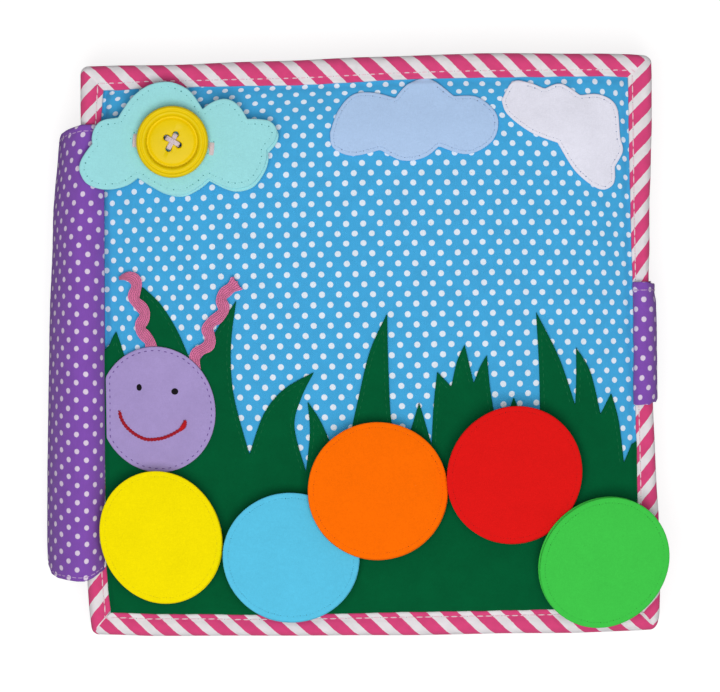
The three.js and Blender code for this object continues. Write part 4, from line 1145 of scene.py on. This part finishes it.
# ---- Body discs ----
# Each disc's snap, its radius and oval, its outline's shift from the snap, the slip of its lower felt,
# the disc it overlaps or underlies, and its tilt in degrees
DISCS = {
    "yellow": ((-74.5, -66.1), 22.3, (-0.92, -0.95), (0.0, 0.25), (0.22, -0.18), None, 0.0),
    "light_blue": ((-28.9, -73.7), 23.35, (0.68, -0.1), (-0.25, -0.15), (0.22, -0.18), "orange", -5.4),
    "orange": ((1.85, -50.7), 24.4, (0.25, 0.05), (-0.2, -0.2), (0.2, -0.2), "light_blue", 5.4),
    "red": ((50.35, -45.9), 24.0, (-0.2, 0.59), (-0.55, 0.3), (0.22, -0.18), "green", -4.6),
    "green": ((81.3, -77.1), 22.75, (0.0, 1.23), (-0.3, 0.2), (-0.45, 0.3), "red", 4.6),
}
DISC_FELT_THICK = 1.5
DISC_BACK = 2.0


def disc_plane(level, radius, seed):
    """A disc's plane, a little swollen in the middle."""
    return lambda x, y: level + 0.35 * np.clip(1 - (x**2 + y**2) / radius**2, 0, 1) + 0.12 * wander(x, y, 12, seed)


for name, (centre, radius, oval, shift, slip, neighbour, lean) in DISCS.items():
    turn = Matrix.Identity(4)
    if neighbour:
        toward = unit(np.subtract(DISCS[neighbour][0], centre))
        turn = Matrix.Rotation(math.radians(lean), 4, Vector((toward[1], -toward[0], 0)))
    rim = frame_box(f"{name}_snap_socket")[1][2]
    seed = float(len(name)) * 3
    colour = DISC_COLOURS[name]
    material = felt(f"{name}_felt", colour)
    pieces = []
    for layer, side in enumerate(("back", "front")):
        line = rounded(shift, radius, oval)
        line = line + inward(line) * (0.12 * wander(*line.T, 14, seed + layer))[:, None]
        shape = FeltShape(line if layer else line + slip, 3.0)
        level = DISC_BACK + layer * (DISC_FELT_THICK + 0.02) + DISC_FELT_THICK / 2
        plane, seam = disc_plane(level, radius, seed), (2.0, 0.1) if layer else None
        body = felt_body(f"{name}_{side}_felt_cut", shape, plane, DISC_FELT_THICK, material, seam, seed)
        pieces.append((body, f"{name}_{side}_felt"))
    yarn = thread(f"{name}_thread", darker(colour, 0.96))
    # Painted shade of the needle holes: the felt's colour made darker, less so on yellow
    holes = thread(f"{name}_needle_hole_shade", darker(colour, 0.87 if name == "yellow" else 0.6))
    top = disc_plane(level + DISC_FELT_THICK / 2 - 0.1, radius, seed)
    stitches = felt_stitches(f"{name}_disc_stitching", shape, top, 1.9, 2.3, 1.8, 0.28, yarn, holes, hole_size=0.36)
    for piece, *nodes in pieces + [(piece,) for piece in stitches]:
        move(piece, *centre, rim, turn)
        settle(piece, f"{name}_disc", f"disc_{name}", *nodes)

for name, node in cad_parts.items():
    if name.endswith(("snap_socket", "snap_stud")):
        for entry in node.material_slots:
            entry.material = SNAP

# ---- Spine band ----
BAND_MIDDLE = sum(frame_box("spine_band_bulge"))[2] / 2
BAND_FOOT, BAND_FOOT_FALL = 0.25, 0.35
BAND_THICK = 0.9
BAND_TOP, BAND_BOTTOM = 79.6, -81.2
BAND_SEWN_Z, BAND_SEWN_X, BAND_LEAN = 27.3, -93.35, 0.0105
# At each height of the book: where the band's crest stands, how high it is, and where the spine bulges out to
CREST_X = ([-82, 30, 55, 80], [-101.8, -101.6, -100.6, -100.0])
CREST_Z = ([-82, 18, 48, 57, 80], [33.2, 33.0, 31.2, 30.85, 30.7])
BULGE_X = (
    [-82, -73, -65, -48, -38, -31, -14, 3, 19, 36, 53, 62, 70, 80],
    [-115.0, -115.2, -115.1, -114.8, -114.5, -114.4, -113.9, -113.4, -112.9, -111.9, -111.3, -110.5, -109.6, -108.8],
)
# How far the two ends draw in from the crest to the middle of the bulge, and the lower one from the crest to the sewn edge
TOP_DRAWN = ([0, 0.07, 0.52, 0.72, 0.906, 0.97, 1], [0, 0, 1.1, 1.7, 2.65, 3.9, 5.0])
FOOT_DRAWN = ([0, 0.2, 0.46, 0.755, 0.895, 0.96, 1], [0, 0, 0.5, 1.25, 2.4, 4.6, 5.4])
SEWN_FOOT_DRAWN = ([0, 0.2, 0.46, 0.71, 0.86, 1], [0, 0.4, 1.2, 2.5, 3.3, 3.9])
# How far from the upper and the lower end the hem's stitches run, and what the folded hem adds to the thickness
HEM_STITCHES = (2.2, 1.35)
HEM_THICK = 0.6
# Where the printed dots lie, read off the photo, as a cubic of the run over the cloth (in tens of mm)
# and the height on the page (in hundreds)
BAND_PRINT = (
    (-9.2, 10.3, 3.3, -0.32, -3.6, 4.9, 0.26, 2.05, 1.6, 6.3),
    (63.2, 0, 102.2, -0.28, -3.85, -2.2, 0.03, 1.72, 1.6, 1.6),
)
STRAP_PRINT = ((-19, 0.1, 100.2), (-3.8, 10.3, 0, 0.17, -5.8, 14.7))


def printed(run, y, factors, seen, across):
    """The place on the printed cloth, run on evenly past the part seen in the photo."""
    shown = np.minimum(run, seen)
    place = np.stack([cubic(row, shown / 10, y / 100) for row in factors], -1)
    place[..., across] += run - shown
    return place.reshape(-1, 2)


def rounding_off(from_end, reach, least):
    """How much of its thickness a cloth keeps near its rounded end."""
    return np.sqrt(np.maximum(1 - (1 - np.minimum(from_end / reach, 1)) ** 2, least))


def hem_stitches(name, line, hub, spacing, lift, length, width, square):
    """Stitches along a hem that bends round a hub; square stands them square on the hem."""
    line, way = (part[1:-1] for part in resample(line, spacing))
    up = unit((line - hub) * (1, 0, 1))
    if square:
        up = unit(up - way * np.sum(up * way, axis=1, keepdims=True))
    return stitch_mesh(name, line + up * lift, way, up, length, width, THREAD["hem"])


def settle_bent(cloth, seam, bodies, start, end, *nodes):
    """Bakes a cloth's and its seam's placing into their meshes, and hides the CAD nodes the cloth stands for."""
    for part, slot in ((cloth, "purple"), (seam, "thread")):
        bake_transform(part)
    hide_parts(*nodes)


def band_line(y, sign):
    """The band's section from its sewn edge over its crest to the middle of its bulge, in X and Z."""
    crest_x, crest_z, bulge_x = (float(np.interp(y, *table)) for table in (CREST_X, CREST_Z, BULGE_X))
    half_height = crest_z - BAND_MIDDLE if sign > 0 else BAND_MIDDLE - BAND_FOOT
    fall = crest_z - BAND_SEWN_Z if sign > 0 else BAND_FOOT_FALL
    share = np.linspace(1, 0, 22)
    roll_x = crest_x + (BAND_SEWN_X + BAND_LEAN * y - crest_x) * share
    angle = np.linspace(math.pi / 2, 0, 40)[1:]
    x = np.r_[roll_x, crest_x + (bulge_x - crest_x) * np.cos(angle) ** 1.2]
    z = BAND_MIDDLE + sign * np.r_[half_height - fall * share**2.5, half_height * np.sin(angle)]
    return np.stack([x, z], 1), crest_x, bulge_x


def add_band(name, sign, bodies, start, end, *nodes):
    """Half of the spine band: a hemmed strip sewn on one cover and bent round the spine to the middle."""
    length = BAND_TOP - BAND_BOTTOM
    rows = np.union1d(np.linspace(0, 1, 105), [0.002, 0.005, 0.008, 0.014, 0.986, 0.9917, 0.995, 0.998])
    outer, inner, uv, hubs = [], [], [], []
    for share in rows:
        y_mid = BAND_TOP - length * share
        section, crest_x, bulge_x = band_line(y_mid, sign)
        section = fixed_count(section, 70)
        x, z = section.T
        run = run_along(section)
        normal = -sign * left_of(unit(np.gradient(section, axis=0)))
        toward_edge = min(share, 1 - share) * length
        stitch_at = HEM_STITCHES[int(share > 0.5)]
        thick = BAND_THICK + HEM_THICK * (1 - smoothstep(stitch_at + 0.5, stitch_at + 1.6, toward_edge))
        lost = thick / 2 * (1 - rounding_off(toward_edge, 0.8, 0.04))
        out, beside = np.clip([(crest_x - x) / (crest_x - bulge_x), (x - crest_x) / (x[0] - crest_x)], 0, 1)
        high_end = BAND_TOP - np.interp(out, *TOP_DRAWN)
        low_end = BAND_BOTTOM + np.interp(out, *FOOT_DRAWN) + np.interp(beside, *SEWN_FOOT_DRAWN)
        y = high_end + (low_end - high_end) * share
        slack = 0.26 * wander(run, y_mid, 16, 2.0 + sign) + 0.1 * wander(run, y_mid, 6, 4.0 + sign)
        slack = slack * np.sin(np.linspace(0, math.pi, len(run))) ** 0.5
        if sign < 0:
            slack = np.where(z < 4, np.minimum(slack, 0), slack) * smoothstep(0.5, 4, z)
        stitch_dip = 0.25 * dip(toward_edge, stitch_at, 0.5)
        for layer, shift in ((outer, slack - stitch_dip - lost), (inner, lost - thick)):
            moved = section + normal * np.broadcast_to(shift, run.shape)[:, None]
            layer.append(np.column_stack([moved[:, 0], y, moved[:, 1]]))
        whole_run = run if sign > 0 else run_along(band_line(y_mid, 1)[0])[-1] + run[-1] - run
        uv.append(printed(whole_run, y, BAND_PRINT, 22.7, 0))
        hubs.append((crest_x, 0, BAND_MIDDLE))
    faces = shell_faces(len(rows), len(run))[:, :: -sign]
    piece = make(name, np.vstack(outer + inner), faces, PURPLE, corner_uv(faces, np.vstack(uv + uv)))
    seams = []
    for from_top in (HEM_STITCHES[0], length - HEM_STITCHES[1]):
        row = np.argmin(np.abs(rows * length - from_top))
        seams.append(hem_stitches(f"{name}_seam{row}", outer[row], hubs[row], 2.4, 0.06, 1.9, 0.36, True))
    settle_bent(piece, join(f"{name}_hem_stitching", seams), bodies, start, end, *nodes)


add_band(
    "spine_band_front_cloth", 1, ("front_cover", "spine"), (-0.096, 0, 0.030), (-0.112, 0, 0.020),
    "spine_band_front", "spine_band_bulge",
)
add_band("spine_band_back_cloth", -1, ("back_cover", "spine"), (-0.096, 0, 0.0005), (-0.112, 0, 0.009), "spine_band_back")

# Inner band: a strip with a sewn ridge for each inner leaf
(_, band_low_y, band_low_z), (tip_x, band_high_y, band_high_z) = frame_box("spine_inner_band")
face_x = -PAGE_HALF - EDGE_HALF - 0.3
# The ridge's outline: how far out from the band's face (none at its tip), and how far up
RIDGE = ((0, -1.6), (0.25, -0.9), (None, -0.42), (None, 0), (None, 0.42), (0.25, 0.9), (0, 1.6))
profile = [[face_x - 0.5, band_low_z + 0.2], [face_x, band_low_z]]
for leaf in ("third_leaf", "second_leaf"):
    for out, rise in RIDGE:
        x = face_x + out if out is not None else tip_x - (0.1 if rise else 0)
        profile.append([x, LEVELS[leaf] + rise])
profile = np.array(profile + [[face_x, band_high_z], [face_x - 0.5, band_high_z - 0.2]])
y, run = np.linspace(band_low_y, band_high_y, 60)[:, None], run_along(profile)
x = profile[:, 0] - np.abs(0.08 * wander(run, y, 9, 6.0))
points = together(x, y, profile[:, 1])
faces = grid_faces(*x.shape, wrap_columns=True)[:, ::-1].tolist()
faces += [list(range(len(run))), list(range(len(points) - 1, len(points) - len(run) - 1, -1))]
flat_map = together(run, y)
inner_band = make("spine_inner_band_cloth", points, faces, PURPLE, corner_uv(faces, flat_map))
settle(inner_band, "spine", "purple", "spine_inner_band")

# ---- Strap ----
STRAP_HALF = frame_box("strap_flap")[1][1]
STRAP_SHIFT = -0.3
STRAP_LEAN = 0.0148
STRAP_STITCHES = 2.6


def ribbon(name, section, half, thickness, material, seed, strap=False):
    """A cloth strip: a section in X and Z run along Y, its ends rounded; the strap has one end hemmed and the other cut."""
    section = fixed_count(spline(section, 8), 60)
    normal = left_of(unit(np.gradient(section, axis=0)))
    run = run_along(section)
    row_y = np.union1d(np.linspace(-half, half, 46), [-half + 0.15, -half + 0.4, half - 0.4, half - 0.15])[:, None]
    from_end = half - np.abs(row_y)
    keep = rounding_off(from_end, 0.6, 0.05)
    slack = 0.16 * wander(run, row_y, 10, seed) + 0.07 * wander(run, row_y, 4, seed + 1)
    y = row_y + 0 * run
    if strap:
        hem = 0.4 * (1 - smoothstep(3.2, 4.0, from_end)) - 0.2 * dip(from_end, STRAP_STITCHES, 0.4)
        slack += np.where(row_y > 0, hem, 0)
        y += np.where(row_y < 0, 0.22 * wander(run, 0, 1.6, seed + 2) * (1 - smoothstep(0, 1.5, from_end)), 0)
    shifts = np.stack(np.broadcast_arrays(slack - thickness / 2 * (1 - keep), -thickness * (0.5 + 0.5 * keep)))
    x, z = np.moveaxis(section + normal * shifts[..., None], -1, 0)
    if strap:
        # The sewn hem and the cut end draw in where the strap turns down
        x = x + STRAP_LEAN * row_y * (1 - smoothstep(95.5, 100, x))
        turned = smoothstep(97.5, 100.5, x)
        cut = smoothstep(half - 2.5, half, -row_y)
        x = x - turned * (0.85 * smoothstep(half - 7.5, half - 2, row_y) + 0.5 * cut)
        y = y - turned * (0.5 * smoothstep(half - 1.5, half, row_y) - 0.9 * cut) + STRAP_SHIFT
    points = together(x, y, z)
    flat_map = printed(run, row_y, STRAP_PRINT, 12.3, 1) if strap else together(row_y, run)
    faces = shell_faces(len(row_y), len(run))
    piece = make(name, points, faces, material, corner_uv(faces, np.tile(flat_map, (2, 1))))
    return piece, points.reshape(2, len(row_y), -1, 3)[0], row_y, run[-1]


STRAP_OUT = 101.3
strap_section = [
    [94.3, 27.5], [93.4, 27.45], [92.85, 27.8], [92.85, 28.45], [93.15, 29.1], [93.8, 29.85], [94.7, 30.42],
    [95.8, 30.65], [97.2, 30.43], [98.6, 29.72], [99.4, 29.05], [100.0, 28.2], [100.45, 27.1], [100.8, 25.8], [101.1, 24],
    [STRAP_OUT, 21], [STRAP_OUT, 15], [STRAP_OUT, 10], [STRAP_OUT - 0.1, 6], [STRAP_OUT - 0.4, 4.4],
]
strap, strap_rows, strap_ys, strap_run = ribbon("strap_cloth", strap_section, STRAP_HALF, 0.65, STRAP_CLOTH, 3.0, True)
row = strap_rows[np.argmin(np.abs(strap_ys - (STRAP_HALF - STRAP_STITCHES)))]
strap_seam = hem_stitches("strap_hem_stitching", row, (97.0, 0, 24.0), 2.6, 0.05, 2.4, 0.4, False)
settle_bent(strap, strap_seam, ("front_cover", "strap"), (0.0985, 0, 0.0298), (0.1022, 0, 0.0262), "strap_top", "strap_flap")

for node, body, x in (("hook_patch", "strap", 100.55), ("loop_patch", "back_cover", 100.05)):
    low, high = frame_box(node)
    section = [[x, high[2]], [x, (high[2] + low[2]) / 2], [x, low[2]]]
    settle(ribbon(f"{node}_tape", section, high[1], 0.45, PATCH, x)[0], body, "patch", node)
tab_section = [
    [99.5, frame_box("strap_back_tab")[1][2]], [99.5, 18], [99.5, 10], [99.5, 5], [99.45, 2.6], [99.2, 1.2],
    [98.2, 0.45], [96.5, 0.3], [94.5, 0.3], [93.2, 0.3],
]
tab, _, _, tab_run = ribbon("strap_back_tab_cloth", tab_section, STRAP_HALF, 0.45, STRAP_CLOTH, 5.0)
settle(tab, "back_cover", "purple", "strap_back_tab")

# ---- Stage: floor, light and camera ----
shader = Shader("floor", 0.9, 0.1)
shader.paint(linear("#949292"), shader.tone(shader.noise(shader.place(), 300.0), 0.995, 1.0))
FLOOR_HALF = 3000
floor_corners = [[x * FLOOR_HALF, y * FLOOR_HALF, 0] for x, y in ((-1, -1), (1, -1), (1, 1), (-1, 1))]
floor = make("floor", floor_corners, [range(4)], shader.material)
floor.location.z = -0.02 * MM
rays = shader.node("ShaderNodeLightPath").node.outputs
seen = shader.math("MAXIMUM", rays["Is Camera Ray"], rays["Is Glossy Ray"])
seen = shader.math("MAXIMUM", seen, rays["Is Transmission Ray"])
shader.set(Emission_Color=(1, 1, 1, 1))
shader.put(shader.surface.inputs["Emission Strength"], shader.times(seen, 0.8))

world = bpy.data.worlds.new("studio")
world.use_nodes = True
background = world.node_tree.nodes["Background"]
background.inputs["Color"].default_value = (1, 1, 1, 1)
background.inputs["Strength"].default_value = 0.26
bpy.context.scene.world = world

lamp = bpy.data.lights.new("key", "AREA")
lamp.shape, lamp.size, lamp.energy = "SQUARE", 1.0, 18.3
key = bpy.data.objects.new("key", lamp)
key.location = (-0.02, -0.3, 1.45)
key.rotation_euler = (-Vector(key.location)).to_track_quat("-Z", "Y").to_euler()
bpy.context.scene.collection.objects.link(key)

CAMERA_HEIGHT = 3.0
VIEW_WIDTH = 0.2535
camera_data = bpy.data.cameras.new("camera")
camera_data.sensor_width = 36
camera_data.lens = 36 * CAMERA_HEIGHT / VIEW_WIDTH
camera = bpy.data.objects.new("camera", camera_data)
camera.location = (-3.52 * MM, 0.23 * MM, PAGE_TOP * MM + CAMERA_HEIGHT)
camera.rotation_euler = (0, 0, math.radians(-0.85))
bpy.context.scene.collection.objects.link(camera)
bpy.context.scene.camera = camera
bpy.context.scene.view_settings.view_transform = "Standard"
